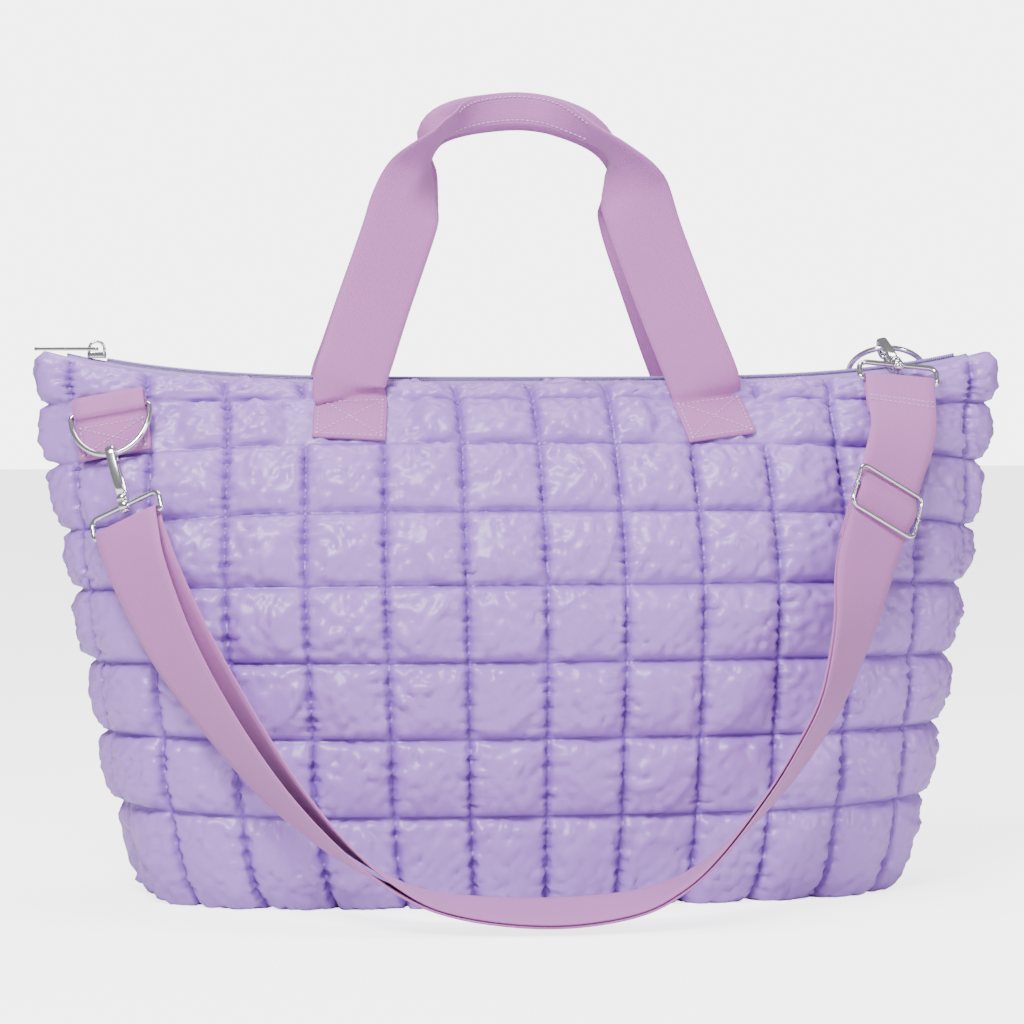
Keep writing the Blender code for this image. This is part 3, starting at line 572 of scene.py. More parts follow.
def rounded_plate(name, low, high, corner, edge, hole=None):
    """Flat plate in x and y with rounded corners and edges, cut by an optional window."""
    plate = block(name, low, high, corner)
    if hole:
        cutter = block("window", *hole)
        cut = plate.modifiers.new("window", "BOOLEAN")
        cut.operation = "DIFFERENCE"
        cut.solver = "EXACT"
        cut.object = cutter
    soften = plate.modifiers.new("edges", "BEVEL")
    soften.width = edge
    soften.segments = 3
    soften.angle_limit = math.radians(40)
    done = plate.evaluated_get(bpy.context.evaluated_depsgraph_get())
    plain = bpy.data.meshes.new_from_object(done)
    plate.modifiers.clear()
    plate.data = plain
    if hole:
        bpy.data.objects.remove(cutter, do_unlink=True)
    plain.polygons.foreach_set("use_smooth", [True] * len(plain.polygons))
    return plate


chrome = Look("nickel", (0.78, 0.78, 0.80), 0.13, 1.0)
SLIDER_X = -0.2293
SLIDER_BASE = rim_height(SLIDER_X) + 0.0038
PULL_AXIS = SLIDER_BASE + 0.0050
slider = [rounded_plate("slider_plate", (SLIDER_X - 0.0050, -0.00425, SLIDER_BASE),
                        (SLIDER_X + 0.0050, 0.00425, SLIDER_BASE + 0.0036), 0.0024, 0.0007)]
arch = [(SLIDER_X - 0.0040, 0, SLIDER_BASE + 0.0026)]
for k in range(25):
    a = math.pi - math.pi * k / 24
    arch.append((SLIDER_X + 0.0040 * math.cos(a), 0, PULL_AXIS + 0.0040 * math.sin(a)))
arch.append((SLIDER_X + 0.0040, 0, SLIDER_BASE + 0.0026))
slider.append(tube("slider_bridge", arch, 0.0008))
finish_piece(joined("slider", slider), chrome, "zip_slider")

window = ((SLIDER_X - 0.0072, -0.0017, PULL_AXIS - 0.01), (SLIDER_X - 0.0009, 0.0017, PULL_AXIS + 0.01))
pull = rounded_plate("pull", (SLIDER_X - 0.0330, -0.0033, PULL_AXIS - 0.0009),
                     (SLIDER_X + 0.0009, 0.0033, PULL_AXIS + 0.0009), 0.0024, 0.0004, window)
finish_piece(pull, chrome, "zip_pull", "pull")


# Webbing: 38 mm, woven in fine ribs along its length, with rounded selvedges.

WEB_WIDTH = 0.038
WEB_THICK = 0.0016
GAP = 0.0003
STITCH_IN = 0.0022
STITCH_LIFT = WEB_THICK / 2 + 0.0002
GRIP_FROM = 0.185
webbing = Look("webbing", (0.505, 0.305, 0.52), 0.72)
web_map = webbing.node("ShaderNodeUVMap", uv_map="web")
across_web, along_web = [webbing.node("ShaderNodeSeparateXYZ", {"Vector": web_map}, output=k)
                         for k in (0, 1)]
ribs = (across_web * (math.tau / 0.0013)).math("SINE")
picks = (along_web * (math.tau / 0.0011)).math("SINE")
webbing.bump(ribs * 0.25 + (ribs * picks) * 0.30 + 0.5, 0.5, 0.0003)
webbing.mix(ribs * 0.16 + 0.30, (0.46, 0.16, 0.44), (0.33, 0.09, 0.33))
webbing.put("Sheen Weight", 0.15)
thread = Look("thread", (0.62, 0.36, 0.66), 0.6)


def smooth_table(rows, count_per_row):
    """Rows of a table joined by a smooth curve, count_per_row stations between two rows."""
    rows = np.array(rows, float)
    padded = np.vstack((2 * rows[0] - rows[1], rows, 2 * rows[-1] - rows[-2]))
    out = []
    for i in range(1, len(padded) - 2):
        for step in range(count_per_row):
            out.append(blend_rows(padded[i - 1:i + 3], step / count_per_row))
    out.append(rows[-1])
    return np.array(out)


def even(points, spacing):
    """Stations at an even spacing along a polyline of rows whose first three columns are x, y, z."""
    run = np.concatenate(([0.0], np.cumsum(np.linalg.norm(np.diff(points[:, :3], axis=0), axis=1))))
    count = max(2, round(run[-1] / spacing))
    at = np.linspace(0.0, run[-1], count + 1)
    return at, np.stack([np.interp(at, run, points[:, k]) for k in range(points.shape[1])], axis=1)


class Web:
    """Webbing as a grid of points on its middle surface, rows along it and columns across."""

    def __init__(self, grid, across):
        self.grid = np.asarray(grid)
        self.across = np.asarray(across)
        along = np.gradient(self.grid, axis=0)
        wide = np.gradient(self.grid, axis=1)
        self.normal = unit(np.cross(along, wide))
        middle = self.grid[:, len(self.across) // 2]
        self.at = np.concatenate(([0.0], np.cumsum(np.linalg.norm(np.diff(middle, axis=0), axis=1))))

    def mesh(self, name, thick=WEB_THICK):
        half = thick / 2
        wide = unit(self.grid[:, -1] - self.grid[:, -2])
        start = unit(self.grid[:, 0] - self.grid[:, 1])
        shrink = np.ones(len(self.across))
        shrink[0] = shrink[-1] = 0.62
        front = self.grid + self.normal * (half * shrink)[None, :, None]
        back = self.grid - self.normal * (half * shrink)[None, :, None]
        sections = np.concatenate((front, (self.grid[:, -1] + wide * 0.0003)[:, None], back[:, ::-1],
                                   (self.grid[:, 0] + start * 0.0003)[:, None]), axis=1)
        made = loft(name, sections)
        count = sections.shape[1]
        u = np.concatenate((self.across, [self.across[-1]], self.across[::-1], [self.across[0]]))
        layer = made.data.uv_layers.new(name="web")
        loops = np.empty(len(made.data.loops), int)
        made.data.loops.foreach_get("vertex_index", loops)
        layer.data.foreach_set("uv", np.column_stack((u[loops % count], self.at[loops // count])).ravel())
        return made

    def spot(self, along, across, lift):
        """Point at a distance along and across the webbing, lifted off its middle surface."""
        i = np.interp(along, self.at, np.arange(len(self.at)))
        order = np.argsort(self.across)
        j = np.interp(across, self.across[order], order)
        i0 = int(min(max(i, 0), len(self.at) - 2))
        j0 = int(min(max(j, 0), len(self.across) - 2))
        a = i - i0
        b = j - j0
        out = []
        for table in (self.grid, self.normal):
            out.append((table[i0, j0] * (1 - a) + table[i0 + 1, j0] * a) * (1 - b)
                       + (table[i0, j0 + 1] * (1 - a) + table[i0 + 1, j0 + 1] * a) * b)
        return out[0] + unit(out[1]) * lift

    def path(self, start, end, lift, step=0.002):
        """Points of a straight run of stitching from one (along, across) to another."""
        start = np.array(start, float)
        end = np.array(end, float)
        count = max(2, int(np.linalg.norm(end - start) / step))
        return [self.spot(*(start + (end - start) * k / count), lift) for k in range(count + 1)]

    def box_and_cross(self, low, high, lift):
        """Stitching in a box with a cross, between two (along, across) corners."""
        (a, b), (c, d) = low, high
        corners = ((a, b), (c, b), (c, d), (a, d), (a, b))
        lines = [self.path(p, q, lift) for p, q in zip(corners, corners[1:])]
        return lines + [self.path((a, b), (c, d), lift), self.path((a, d), (c, b), lift)]


# Handles: the webbing is sewn over the top full row, stands up flat, and folds in half at the
# grip, where two rows of stitching hold the fold.

# Columns: x, distance in front of the middle, height, turn of the outer and inner half in degrees
HANDLE_LINE = (
    (-0.0980, 0.0345, 0.2737, 0, 0),
    (-0.0925, 0.0315, 0.2901, 0, 0),
    (-0.0843, 0.0275, 0.3146, 0, 0),
    (-0.0763, 0.0255, 0.3374, 0, 0),
    (-0.0697, 0.0250, 0.3568, 0, 0),
    (-0.0670, 0.0248, 0.3661, 0, 8),
    (-0.0634, 0.0245, 0.3746, 4, 34),
    (-0.0585, 0.0240, 0.3839, 20, 62),
    (-0.0536, 0.0240, 0.3927, 46, 88),
    (-0.0497, 0.0230, 0.3992, 66, 112),
    (-0.0457, 0.0210, 0.4034, 60, 138),
    (-0.0374, 0.0170, 0.4066, 34, 164),
    (-0.0236, 0.0140, 0.4091, 10, 178),
    (-0.0063, 0.0130, 0.4105, 0, 180),
    (0.0074, 0.0132, 0.4093, 8, 180),
    (0.0184, 0.0150, 0.4067, 30, 170),
    (0.0278, 0.0180, 0.4037, 50, 154),
    (0.0348, 0.0205, 0.4006, 64, 132),
    (0.0403, 0.0225, 0.3967, 68, 108),
    (0.0449, 0.0240, 0.3914, 60, 84),
    (0.0495, 0.0245, 0.3852, 46, 62),
    (0.0534, 0.0248, 0.3784, 28, 38),
    (0.0570, 0.0250, 0.3702, 8, 12),
    (0.0625, 0.0255, 0.3532, 0, 0),
    (0.0714, 0.0275, 0.3286, 0, 0),
    (0.0819, 0.0315, 0.3004, 0, 0),
    (0.0923, 0.0345, 0.2735, 0, 0),
)
HANDLE_BEND = 0.0040
PATCH_LEAN = {-1: -0.06, 1: 0.14}
BACK_SHIFT = 0.004


def handle(name, turned_round):
    patch = []
    for end in (-1, 1):
        line = []
        for row in np.linspace(7.06, 7.98, 5):
            here, normal, _ = skin_point(end * HANDLE_COLUMN - PATCH_LEAN[end] * (row - 7.0), row)
            line.append((*(here + normal * (WEB_THICK / 2 + 3 * GAP)), *normal, 0.0, 0.0))
        patch.append(line if end < 0 else line[::-1])
    legs = [(x, -depth, z, 0.0, -1.0, 0.0, front, back) for x, depth, z, front, back in HANDLE_LINE]
    _, stations = even(smooth_table(patch[0] + legs + patch[1], 8), 0.0025)
    points = stations[:, :3]
    run = unit(np.gradient(points, axis=0))
    facing = unit(stations[:, 3:6] - np.sum(stations[:, 3:6] * run, axis=1, keepdims=True) * run)
    inward = np.cross(run, facing)
    half = WEB_WIDTH / 2
    across = np.concatenate((np.linspace(half, HANDLE_BEND, 6),
                             np.linspace(HANDLE_BEND, -HANDLE_BEND, 9)[1:],
                             np.linspace(-HANDLE_BEND, -half, 6)[1:]))
    grid = []
    for p, f, i, front_turn, back_turn in zip(points, facing, inward, *np.radians(stations[:, 6:8]).T):
        spine = [np.zeros(2)]
        for a, b in zip(across, across[1:]):
            share = min(max((HANDLE_BEND - (a + b) / 2) / (2 * HANDLE_BEND), 0.0), 1.0)
            angle = front_turn + (back_turn - front_turn) * share
            spine.append(spine[-1] + (a - b) * np.array((math.cos(angle), -math.sin(angle))))
        spine = np.array(spine) - spine[len(across) // 2]
        grid.append([p + i * u + f * v for u, v in spine])
    grid = np.array(grid)
    if turned_round:
        grid = grid * (1, -1, 1) + (BACK_SHIFT, 0, 0)
        grid = grid[:, ::-1]
        across = -across[::-1]
    web = Web(grid, across)
    if web.normal[10, 9][1] * (1 if turned_round else -1) < 0:
        web.normal *= -1
    finish_piece(web.mesh(name + "_webbing"), webbing, name)
    edge = half - STITCH_IN
    total = web.at[-1]
    lines = []
    for low in (STITCH_IN, total - 0.0262):
        lines += web.box_and_cross((low, -edge), (low + 0.024, edge), STITCH_LIFT)
    outer = -1 if turned_round else 1
    for across_at in (edge, HANDLE_BEND + 0.0005):
        lines.append([web.spot(s, outer * across_at, STITCH_LIFT)
                      for s in np.linspace(GRIP_FROM, total - GRIP_FROM, 120)])
    sew(name, lines)


handle("handle_front", False)
handle("handle_back", True)


# Ring tabs: short loops of the same webbing, sewn to the panel with a box and cross, that hold
# the D-rings' straight bars. D-rings: 3 mm wire, nickel-plated, 38 mm inside.

TAB_LENGTH = 0.033
RING_WIRE = 0.0015
SEAT = 0.0024 + WEB_THICK / 2
STEP = WEB_THICK + GAP
WRAP = RING_WIRE + GAP + WEB_THICK / 2
LEFT_TAB = np.array(((-0.22079, -0.02194, 0.25007), (0.95428, -0.24107, 0.17671),
                     (-0.09306, 0.3222, 0.94209), (-0.28405, -0.91546, 0.28504)))
RIGHT_TAB = np.array(((0.20922, 0.02606, 0.25143), (-0.95555, 0.28322, -0.08195),
                      (-0.17741, -0.3303, 0.92705), (0.23549, 0.90038, 0.36586)))
LEFT_BAR_UP = 0.0080
RIGHT_BAR_UP = 0.0247
RIGHT_BAR_OUT = 0.0072


def tab(name, frame_of, line, box):
    here, side, up, normal = frame_of
    fine = smooth_table([(r, o, 0.0) for r, o in line], 5)
    across = np.linspace(-WEB_WIDTH / 2, WEB_WIDTH / 2, 9)
    grid = [[here + side * s + up * r + normal * o for s in across] for r, o, _ in fine]
    web = Web(grid, across)
    finish_piece(web.mesh(name + "_webbing"), webbing, name)
    edge = WEB_WIDTH / 2 - STITCH_IN
    total = web.at[-1]
    sign = 1.0 if np.dot(web.normal[-3, 4], normal) > 0 else -1.0
    sew(name, web.box_and_cross((total - box, -edge), (total - STITCH_IN, edge), sign * STITCH_LIFT))


low = -TAB_LENGTH / 2
line = [(low, SEAT), (0.0, SEAT), (LEFT_BAR_UP, SEAT)]
for k in range(7):
    a = math.radians(-90 + 30 * k)
    line.append((LEFT_BAR_UP + 0.006 + WRAP * math.cos(a), SEAT + WRAP + WRAP * math.sin(a)))
for k in range(4):
    a = math.radians(90 + 26 * k)
    line.append((LEFT_BAR_UP + 1.06 * WRAP * math.cos(a), SEAT + WRAP + 1.06 * WRAP * math.sin(a)))
line += [(LEFT_BAR_UP - 0.0046, SEAT + STEP), (LEFT_BAR_UP - 0.0076, SEAT + STEP),
         (-0.004, SEAT + STEP), (low, SEAT + STEP)]
tab("ring_tab_left", LEFT_TAB, line, 0.017)

top = TAB_LENGTH / 2 - 0.004
lean = math.atan2(RIGHT_BAR_OUT - SEAT, RIGHT_BAR_UP - top)
line = [(low, SEAT), (0.0, SEAT), (top, SEAT)]
for k in range(9):
    a = lean + math.radians(-90 + 22.5 * k)
    line.append((RIGHT_BAR_UP + WRAP * math.cos(a), RIGHT_BAR_OUT + WRAP * math.sin(a)))
line += [(top + 0.001, SEAT + STEP + 0.0008), (top - 0.003, SEAT + STEP), (0.0, SEAT + STEP),
         (low, SEAT + STEP)]
tab("ring_tab_right", RIGHT_TAB, line, 0.024)


def ring_line(bar, side, fall):
    """Middle line of a D-ring whose straight bar is centred at bar, its bow toward fall."""
    half = 0.0213
    corner = 0.0020
    drop = 0.027
    flat = [(s, 0.0) for s in np.linspace(-(half - corner), half - corner, 12)]
    for k in range(1, 7):
        a = math.pi / 2 * (1 - k / 6)
        flat.append((half - corner + corner * math.cos(a), corner * (1 - math.sin(a))))
    for k in range(1, 64):
        a = math.pi * k / 64
        flat.append((half * math.cos(a), corner + (drop - corner) * math.sin(a)))
    for k in range(6):
        a = math.pi - math.pi / 2 * k / 6
        flat.append((-(half - corner) + corner * math.cos(a), corner * (1 - math.sin(a))))
    return [bar + side * s + fall * d for s, d in flat]


LEFT_RING = ((-0.22318, -0.02467, 0.25926), LEFT_TAB[1], (0.02158, -0.5341, -0.84515))
RIGHT_RING = ((0.20654, 0.02438, 0.27696), RIGHT_TAB[1], (-0.27938, -0.78094, 0.55864))
for name, ring in (("d_ring_left", LEFT_RING), ("d_ring_right", RIGHT_RING)):
    bar, side, fall = np.array(ring)
    wire = tube(name + "_wire", ring_line(bar, side, fall), RING_WIRE, 18, True, np.cross(side, fall))
    finish_piece(wire, chrome, name)


# Snap hooks: a cast hook with a sprung gate, whose pin turns in the boss of a wire eye. The
# eye's flat side carries the strap.

HOOK_WIDTH = 0.0050
HOOK_THICK = 0.0028
HOOK_STEM = 0.0045
BOW_CENTRE = (0.0026, 0.0290)
BOW_RADIUS = 0.0046
GATE_PIVOT = (0.0062, 0.0068)
# Rows: boss, side, back, axis, middle of the eye's flat side, its direction and its drop
CLIPS = {
    "left": np.array((
        (-0.21661, -0.05152, 0.20980), (0.93599, -0.18743, 0.29797), (0.27151, 0.92314, -0.27219),
        (-0.22406, 0.33567, 0.91494), (-0.21500, -0.05700, 0.20040), (-0.79145, 0.45943, -0.40315),
        (0.14604, -0.49833, -0.85460))),
    "right": np.array((
        (0.20033, -0.02478, 0.28271), (0.98368, -0.01294, 0.17945), (0.16965, 0.39883, -0.90120),
        (-0.05991, 0.91693, 0.39452), (0.19950, -0.03170, 0.27420), (0.99533, 0.00000, -0.09657),
        (-0.07506, -0.62912, -0.77368))),
}


def hook_at(clip, side, back, along):
    return clip[0] + clip[1] * side + clip[2] * back + clip[3] * along


def rounded_outline(half_width, half_height, corners, spacing):
    """Points at an even spacing round a rectangle, from its right side, with four corner radii."""
    flat = []
    for (sx, sy, start), corner in zip(((1, 1, 0), (-1, 1, 90), (-1, -1, 180), (1, -1, 270)), corners):
        for k in range(9):
            a = math.radians(start + 11.25 * k)
            flat.append((sx * (half_width - corner) + corner * math.cos(a),
                         sy * (half_height - corner) + corner * math.sin(a), 0.0))
    return even(np.array(flat + flat[:1]), spacing)[1][:-1, :2]


def strip(name, clip, line, width, thick, widths):
    """Flat metal strip along a smooth line in the hook's plane, narrowed by a share at each point."""
    line = smooth_table([(b, a, w) for (b, a), w in zip(line, widths)], 6)
    run = unit(np.gradient(line[:, :2], axis=0))
    turns = np.linspace(0, math.tau, 20, endpoint=False)
    sections = []
    for (back, along, share), (db, da) in zip(line, run):
        normal = np.array((da, -db))
        section = []
        for a in turns:
            wide = math.copysign(abs(math.cos(a)) ** 0.55, math.cos(a)) * width / 2 * share
            deep = math.copysign(abs(math.sin(a)) ** 0.55, math.sin(a)) * thick / 2
            b, along_here = np.array((back, along)) + normal * deep
            section.append(hook_at(clip, wide, b, along_here))
        sections.append(section)
    return loft(name, sections)


for label, clip in CLIPS.items():
    line = [(0.0, HOOK_STEM - 0.0019), (0.0, HOOK_STEM + 0.0020), (-0.0014, HOOK_STEM + 0.0060),
            (-0.0020, 0.0180), (-0.0020, BOW_CENTRE[1] - 0.002)]
    for k in range(11):
        a = math.radians(180 - 21 * k)
        line.append((BOW_CENTRE[0] + BOW_RADIUS * math.cos(a), BOW_CENTRE[1] + BOW_RADIUS * math.sin(a)))
    widths = [1.0] * (len(line) - 4) + [0.97, 0.9, 0.84, 0.78]
    side = clip[1]
    solid = [strip("hook_strip", clip, line, HOOK_WIDTH, HOOK_THICK, widths)]
    for low, high, profile in (
            ((0, 0, -0.0030), (0, 0, HOOK_STEM), [(0, 0.0012), (1, 0.0012)]),
            ((0, 0, -0.0042), (0, 0, -0.0026),
             [(0, 0.0002), (0.08, 0.0010), (0.3, 0.0017), (0.6, 0.0021), (0.85, 0.0022), (1, 0.0021)]),
            ((0, 0, 0.0026), (0, 0, HOOK_STEM + 0.0016),
             [(0, 0.0028), (0.08, 0.0032), (0.3, 0.0034), (0.6, 0.0034), (0.85, 0.0031), (1, 0.0024)])):
        solid.append(turned("stem", hook_at(clip, *low), hook_at(clip, *high), profile, up=side))
    ends = [hook_at(clip, across, 0.0058, 0.0062) for across in (-0.0016, 0.0016)]
    solid.append(turned("lug", *ends,
                        [(0, 0.0012), (0.15, 0.0015), (0.85, 0.0015), (1, 0.0012)], up=clip[3]))
    arm = [hook_at(clip, 0, *at) for at in ((0.0008, 0.0060), (0.0034, 0.0062), (0.0058, 0.0062))]
    solid.append(tube("arm", arm, 0.0014, up=side))
    finish_piece(joined("snap_hook_" + label, solid), chrome, "hook_" + label)

    line = [(GATE_PIVOT[0] + 0.0008, GATE_PIVOT[1] - 0.0019), (0.0074, 0.0110), (0.0078, 0.0170),
            (0.0074, 0.0222), (0.0070, 0.0246)]
    plate = strip("gate_strip", clip, line, HOOK_WIDTH * 0.8, 0.0018, [0.9, 1.0, 1.0, 0.9, 0.75])
    thumb = turned("thumb", hook_at(clip, 0, 0.0080, 0.0170), hook_at(clip, 0, 0.0108, 0.0176),
                   [(0, 0.0013), (0.5, 0.0012), (0.8, 0.0011), (0.95, 0.0007), (1, 0.0002)], up=side)
    gate = joined("snap_gate_" + label, [plate, thumb])
    finish_piece(gate, chrome, "gate_" + label, "gate_" + label[0])

    centre, width, drop = clip[4:7]
    flat = rounded_outline(0.0214, 0.0055, (0.0018, 0.0018, 0.0042, 0.0042), 0.0008)
    line = [centre + width * u - drop * (0.0055 - v) for u, v in flat]
    barrel = [(0, 0.0024), (0.08, 0.0029), (0.3, 0.0034), (0.7, 0.0034), (0.92, 0.0029), (1, 0.0024)]
    eye = [tube("eye_wire", line, 0.0015, 16, True, np.cross(width, drop)),
           turned("eye_boss", hook_at(clip, 0, 0, -0.0024), hook_at(clip, 0, 0, 0.0024), barrel, up=side)]
    finish_piece(joined("swivel_eye_" + label, eye), chrome, "eye_" + label)


# Shoulder strap: one length of webbing. From the right eye it goes down to the adjuster, over
# its bar and on round the front to the left eye, and returns behind itself to the bar.

# Columns: x, distance in front of the middle, height, face in degrees, spread
STRAP_LINE = (
    (-0.2150, 0.0570, 0.2004, 58, 0.0045),
    (-0.2105, 0.0690, 0.1790, 50, 0.0085),
    (-0.1942, 0.0860, 0.1404, 40, 0.0110),
    (-0.1702, 0.1050, 0.1016, 28, 0.0105),
    (-0.1431, 0.1240, 0.0670, 19, 0.0080),
    (-0.1139, 0.1400, 0.0400, 10, 0.0050),
    (-0.0844, 0.1510, 0.0215, 0, 0.0030),
    (-0.0540, 0.1570, 0.0125, -8, 0.0014),
    (-0.0100, 0.1600, 0.0090, -12, 0.0019),
    (0.0300, 0.1580, 0.0120, -8, 0.0019),
    (0.0540, 0.1560, 0.0200, 0, 0.0019),
    (0.0737, 0.1510, 0.0321, 8, 0.0019),
    (0.0947, 0.1430, 0.0502, 16, 0.0019),
    (0.1201, 0.1280, 0.0760, 24, 0.0019),
    (0.1424, 0.1130, 0.1060, 30, 0.0019),
    (0.1580, 0.0990, 0.1424, 44, 0.0019),
    (0.1674, 0.0880, 0.1760, 64, 0.0019),
    (0.1780, 0.0790, 0.2040, 70, 0.0019),
    (0.1880, 0.0660, 0.2290, 76, 0.0019),
    (0.1965, 0.0520, 0.2490, 84, 0.0022),
    (0.1995, 0.0317, 0.2742, 90, 0.0030),
)
ADJUSTER_BACK = 0.0810
FRAME_WIRE = 0.0011
FRAME_HALF = 0.0215
FRAME_RISE = 0.0120
BAR_RADIUS = 0.0013
rows = [(x, -depth, z, math.radians(face), spread) for x, depth, z, face, spread in STRAP_LINE]
AT, stations = even(smooth_table(rows, 6), 0.001)
strap_run = unit(np.gradient(stations[:, :3], axis=0))
strap_run = unit(np.stack([np.convolve(np.pad(strap_run[:, k], 12, "edge"), np.ones(25) / 25, "valid")
                           for k in range(3)], axis=1))
away = np.array((0.0, 1.0, 0.0))
away = unit(away - np.sum(away * strap_run, axis=1, keepdims=True) * strap_run)
outer = np.cross(away, strap_run)
face = stations[:, 3:4]
STRAP = (stations[:, :3], strap_run, np.cos(face) * outer - np.sin(face) * away,
         np.cos(face) * away + np.sin(face) * outer)
STRAP_SPREAD = stations[:, 4]
STRAP_LENGTH = AT[-1]


def on_strap(along, out):
    """Point at a distance along the strap's middle line and out from it, with the far direction."""
    inside = min(max(along, 0.0), STRAP_LENGTH)
    point, run, normal, far = [np.array([np.interp(inside, AT, values[:, k]) for k in range(3)])
                               for values in STRAP]
    return point + unit(run) * (along - inside) + unit(normal) * out, unit(far)


def half_turn(centre, radius, start, stop, count):
    turns = [math.radians(start + (stop - start) * k / (count - 1)) for k in range(count)]
    return [(centre[0] + radius * math.cos(a), centre[1] + radius * math.sin(a)) for a in turns]


step = WEB_THICK + GAP
wrap = 0.0015 + GAP + WEB_THICK / 2
loop = BAR_RADIUS + GAP + WEB_THICK / 2
bar_at = STRAP_LENGTH - ADJUSTER_BACK
close = step / 2


def rise_over_bar(along):
    """How far the front layer climbs over the cross bar."""
    share = max(0.0, 1 - abs(along - bar_at) / FRAME_RISE)
    return (loop + step - close) * (0.5 - 0.5 * math.cos(math.pi * share))


path = [(STRAP_LENGTH - 0.026, -close), (STRAP_LENGTH - 0.016, -close),
        (STRAP_LENGTH - 0.008, -close - 0.0006)]
path += half_turn((STRAP_LENGTH, 0.0), wrap, -90, 90, 9)
path += [(STRAP_LENGTH - 0.008, close + 0.0006), (STRAP_LENGTH - 0.016, close)]
front = [(along, close) for along in np.arange(STRAP_LENGTH - 0.026, 0.012, -0.006)
         if abs(along - bar_at) > FRAME_RISE + 0.004]
near_bar = [(bar_at + FRAME_RISE * k / 4, close + rise_over_bar(bar_at + FRAME_RISE * k / 4))
            for k in range(-5, 6)]
front += near_bar
front.sort(reverse=True)
path += front + [(0.006, wrap - 0.0004)]
path += half_turn((0.0, 0.0), wrap, 90, 270, 9)
path += [(0.006, -wrap - 0.0004)]
for along in np.arange(0.015, bar_at - FRAME_RISE - 0.006, 0.006):
    path.append((along, close - max(np.interp(along, AT, STRAP_SPREAD), step)))
path += [(along, out - step) for along, out in near_bar[:5]]
path += half_turn((bar_at, 0.0), loop, 90, -90, 9)
path += [(bar_at - back, -close - step) for back in (0.005, 0.012, 0.020, 0.028)]
path = smooth_table([(a, o, 0.0) for a, o in path], 3)
across = np.linspace(-WEB_WIDTH / 2, WEB_WIDTH / 2, 9)
grid = []
for along, out, _ in path:
    middle, far = on_strap(along, out)
    grid.append([middle + far * s for s in across])
strap = Web(grid, across)
finish_piece(strap.mesh("shoulder_strap_webbing"), webbing, "shoulder_strap")


def across_strap(along, side, layer):
    """Row of stitching across one layer of the strap."""
    middle, far = on_strap(along, layer + side * (WEB_THICK / 2 + 0.0001))
    return [middle + far * s for s in np.linspace(-WEB_WIDTH / 2 + 0.002, WEB_WIDTH / 2 - 0.002, 18)]


lines = [across_strap(STRAP_LENGTH - back, side, side * close)
         for side in (1, -1) for back in (0.0135, 0.0165)]
sew("shoulder_strap", lines)


# Adjuster: a rounded wire frame with a loose cross bar that the strap's end is sewn round.

lift = WEB_THICK + 3 * GAP + FRAME_WIRE
flat = rounded_outline(FRAME_HALF, FRAME_RISE, (0.004,) * 4, 0.0012)
centre, far = on_strap(bar_at, lift)
run = unit(on_strap(bar_at + 0.01, lift)[0] - on_strap(bar_at - 0.01, lift)[0])
line = [centre + far * u + run * v for u, v in flat]
wire = tube("adjuster_wire", line, FRAME_WIRE, 14, closed=True, up=np.cross(far, run))
finish_piece(wire, chrome, "adjuster_frame")
middle, _ = on_strap(bar_at, 0.0)
reach = FRAME_HALF - FRAME_WIRE - GAP
bar_profile = [(0, 0.0008), (0.01, 0.0012), (0.03, BAR_RADIUS), (0.97, BAR_RADIUS), (0.99, 0.0012),
               (1, 0.0008)]
rod = [turned("rod", middle - far * reach, middle + far * reach, bar_profile, up=run)]
out = unit(np.cross(run, far))
if np.dot(out, centre - middle) < 0:
    out = -out
for end in (-1, 1):
    foot = middle + far * end * (FRAME_HALF - 0.0012)
    over = middle + far * end * FRAME_HALF + out * (lift + 0.0012)
    rod.append(tube("knuckle", [foot - far * end * 0.0006, foot + out * 0.0010, over - out * 0.0006,
                                over + far * end * 0.0002], 0.0011, up=run))
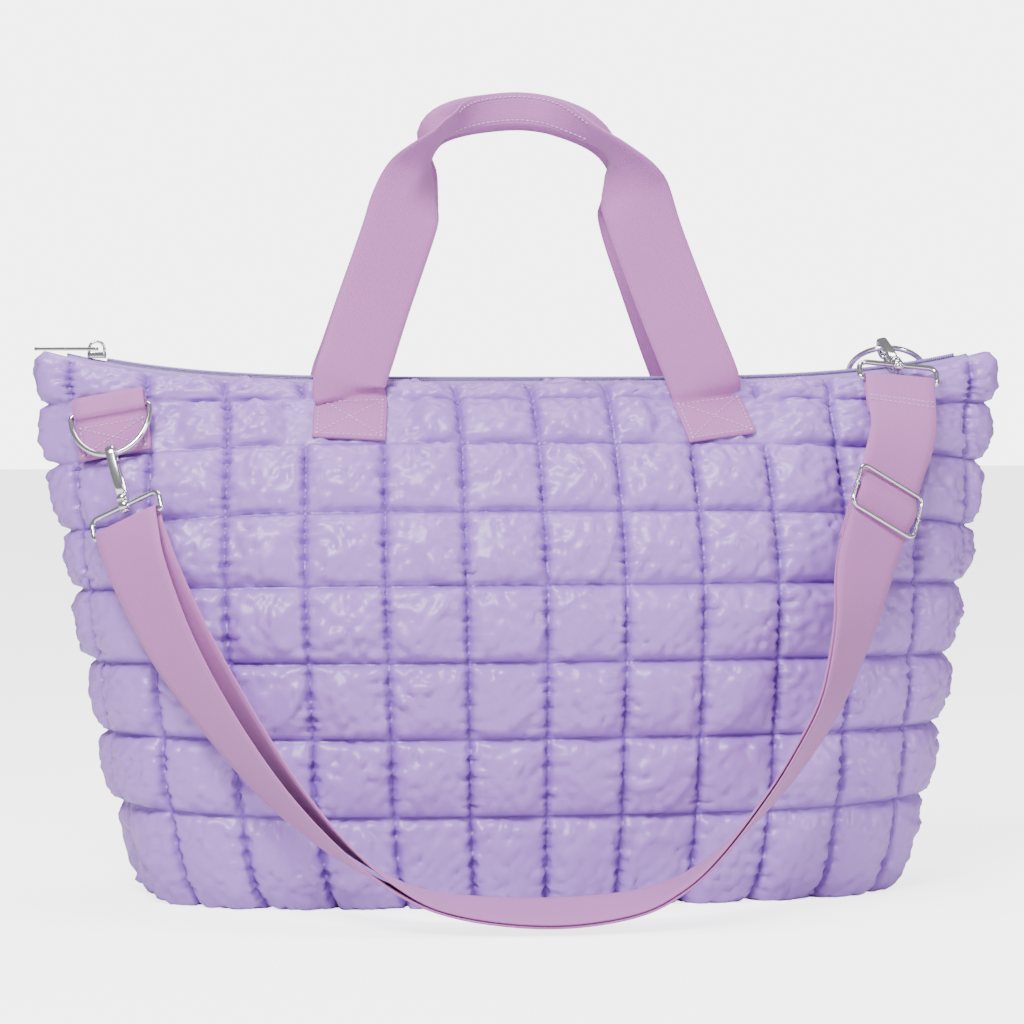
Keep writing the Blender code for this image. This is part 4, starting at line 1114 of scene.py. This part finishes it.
finish_piece(joined("adjuster_rod", rod), chrome, "adjuster_bar")


# Studio: a pale floor and white surroundings, which shine brighter to the camera than onto the
# bag, and three soft lights.

floor = plain_mesh("floor", [(-6, -4, 0), (6, -4, 0), (6, 8, 0), (-6, 8, 0)], [(0, 1, 2, 3)])
floor_look = Look("floor", (0.93, 0.93, 0.935), 0.9)
seen = floor_look.node("ShaderNodeLightPath", output="Is Camera Ray")
floor_look.put("Emission Color", seen * 1.0)
floor_look.put("Emission Strength", 3.0)
floor.data.materials.append(floor_look.material)

camera = linked("camera", bpy.data.cameras.new("camera"))
azimuth = math.radians(-8)
elevation = math.radians(2.4)
aim = Vector((0.0, 0.0, 0.2))
camera.location = aim + 2.0 * Vector((math.sin(azimuth) * math.cos(elevation),
                                      -math.cos(azimuth) * math.cos(elevation), math.sin(elevation)))
camera.rotation_euler = (aim - camera.location).to_track_quat("-Z", "Y").to_euler()
camera.data.lens = 130
camera.data.shift_x = -0.012
camera.data.shift_y = 0.006
camera.data.clip_end = 50
bpy.context.scene.camera = camera

world = bpy.data.worlds.new("studio")
world.use_nodes = True
background = world.node_tree.nodes["Background"]
background.inputs["Color"].default_value = (1, 1, 1, 1)
seen = world.node_tree.nodes.new("ShaderNodeLightPath")
bright = Value(world.node_tree, seen.outputs["Is Camera Ray"]) * 5.0 + 0.30
plug(world.node_tree, bright, background.inputs["Strength"])
bpy.context.scene.world = world


def softbox(name, place, aim_at, size, power):
    light = linked(name, bpy.data.lights.new(name, "AREA"))
    light.data.shape = "RECTANGLE"
    light.data.size = size[0]
    light.data.size_y = size[1]
    light.data.energy = power
    light.location = place
    light.rotation_euler = (Vector(aim_at) - light.location).to_track_quat("-Z", "Y").to_euler()


softbox("key", (-0.7, -1.3, 1.6), (0, 0, 0.2), (0.9, 0.6), 66)
softbox("fill", (1.4, -1.3, 0.9), (0, 0, 0.15), (0.4, 0.7), 14)
softbox("top", (0.1, 0.2, 1.9), (0, 0, 0.2), (1.0, 0.7), 22)
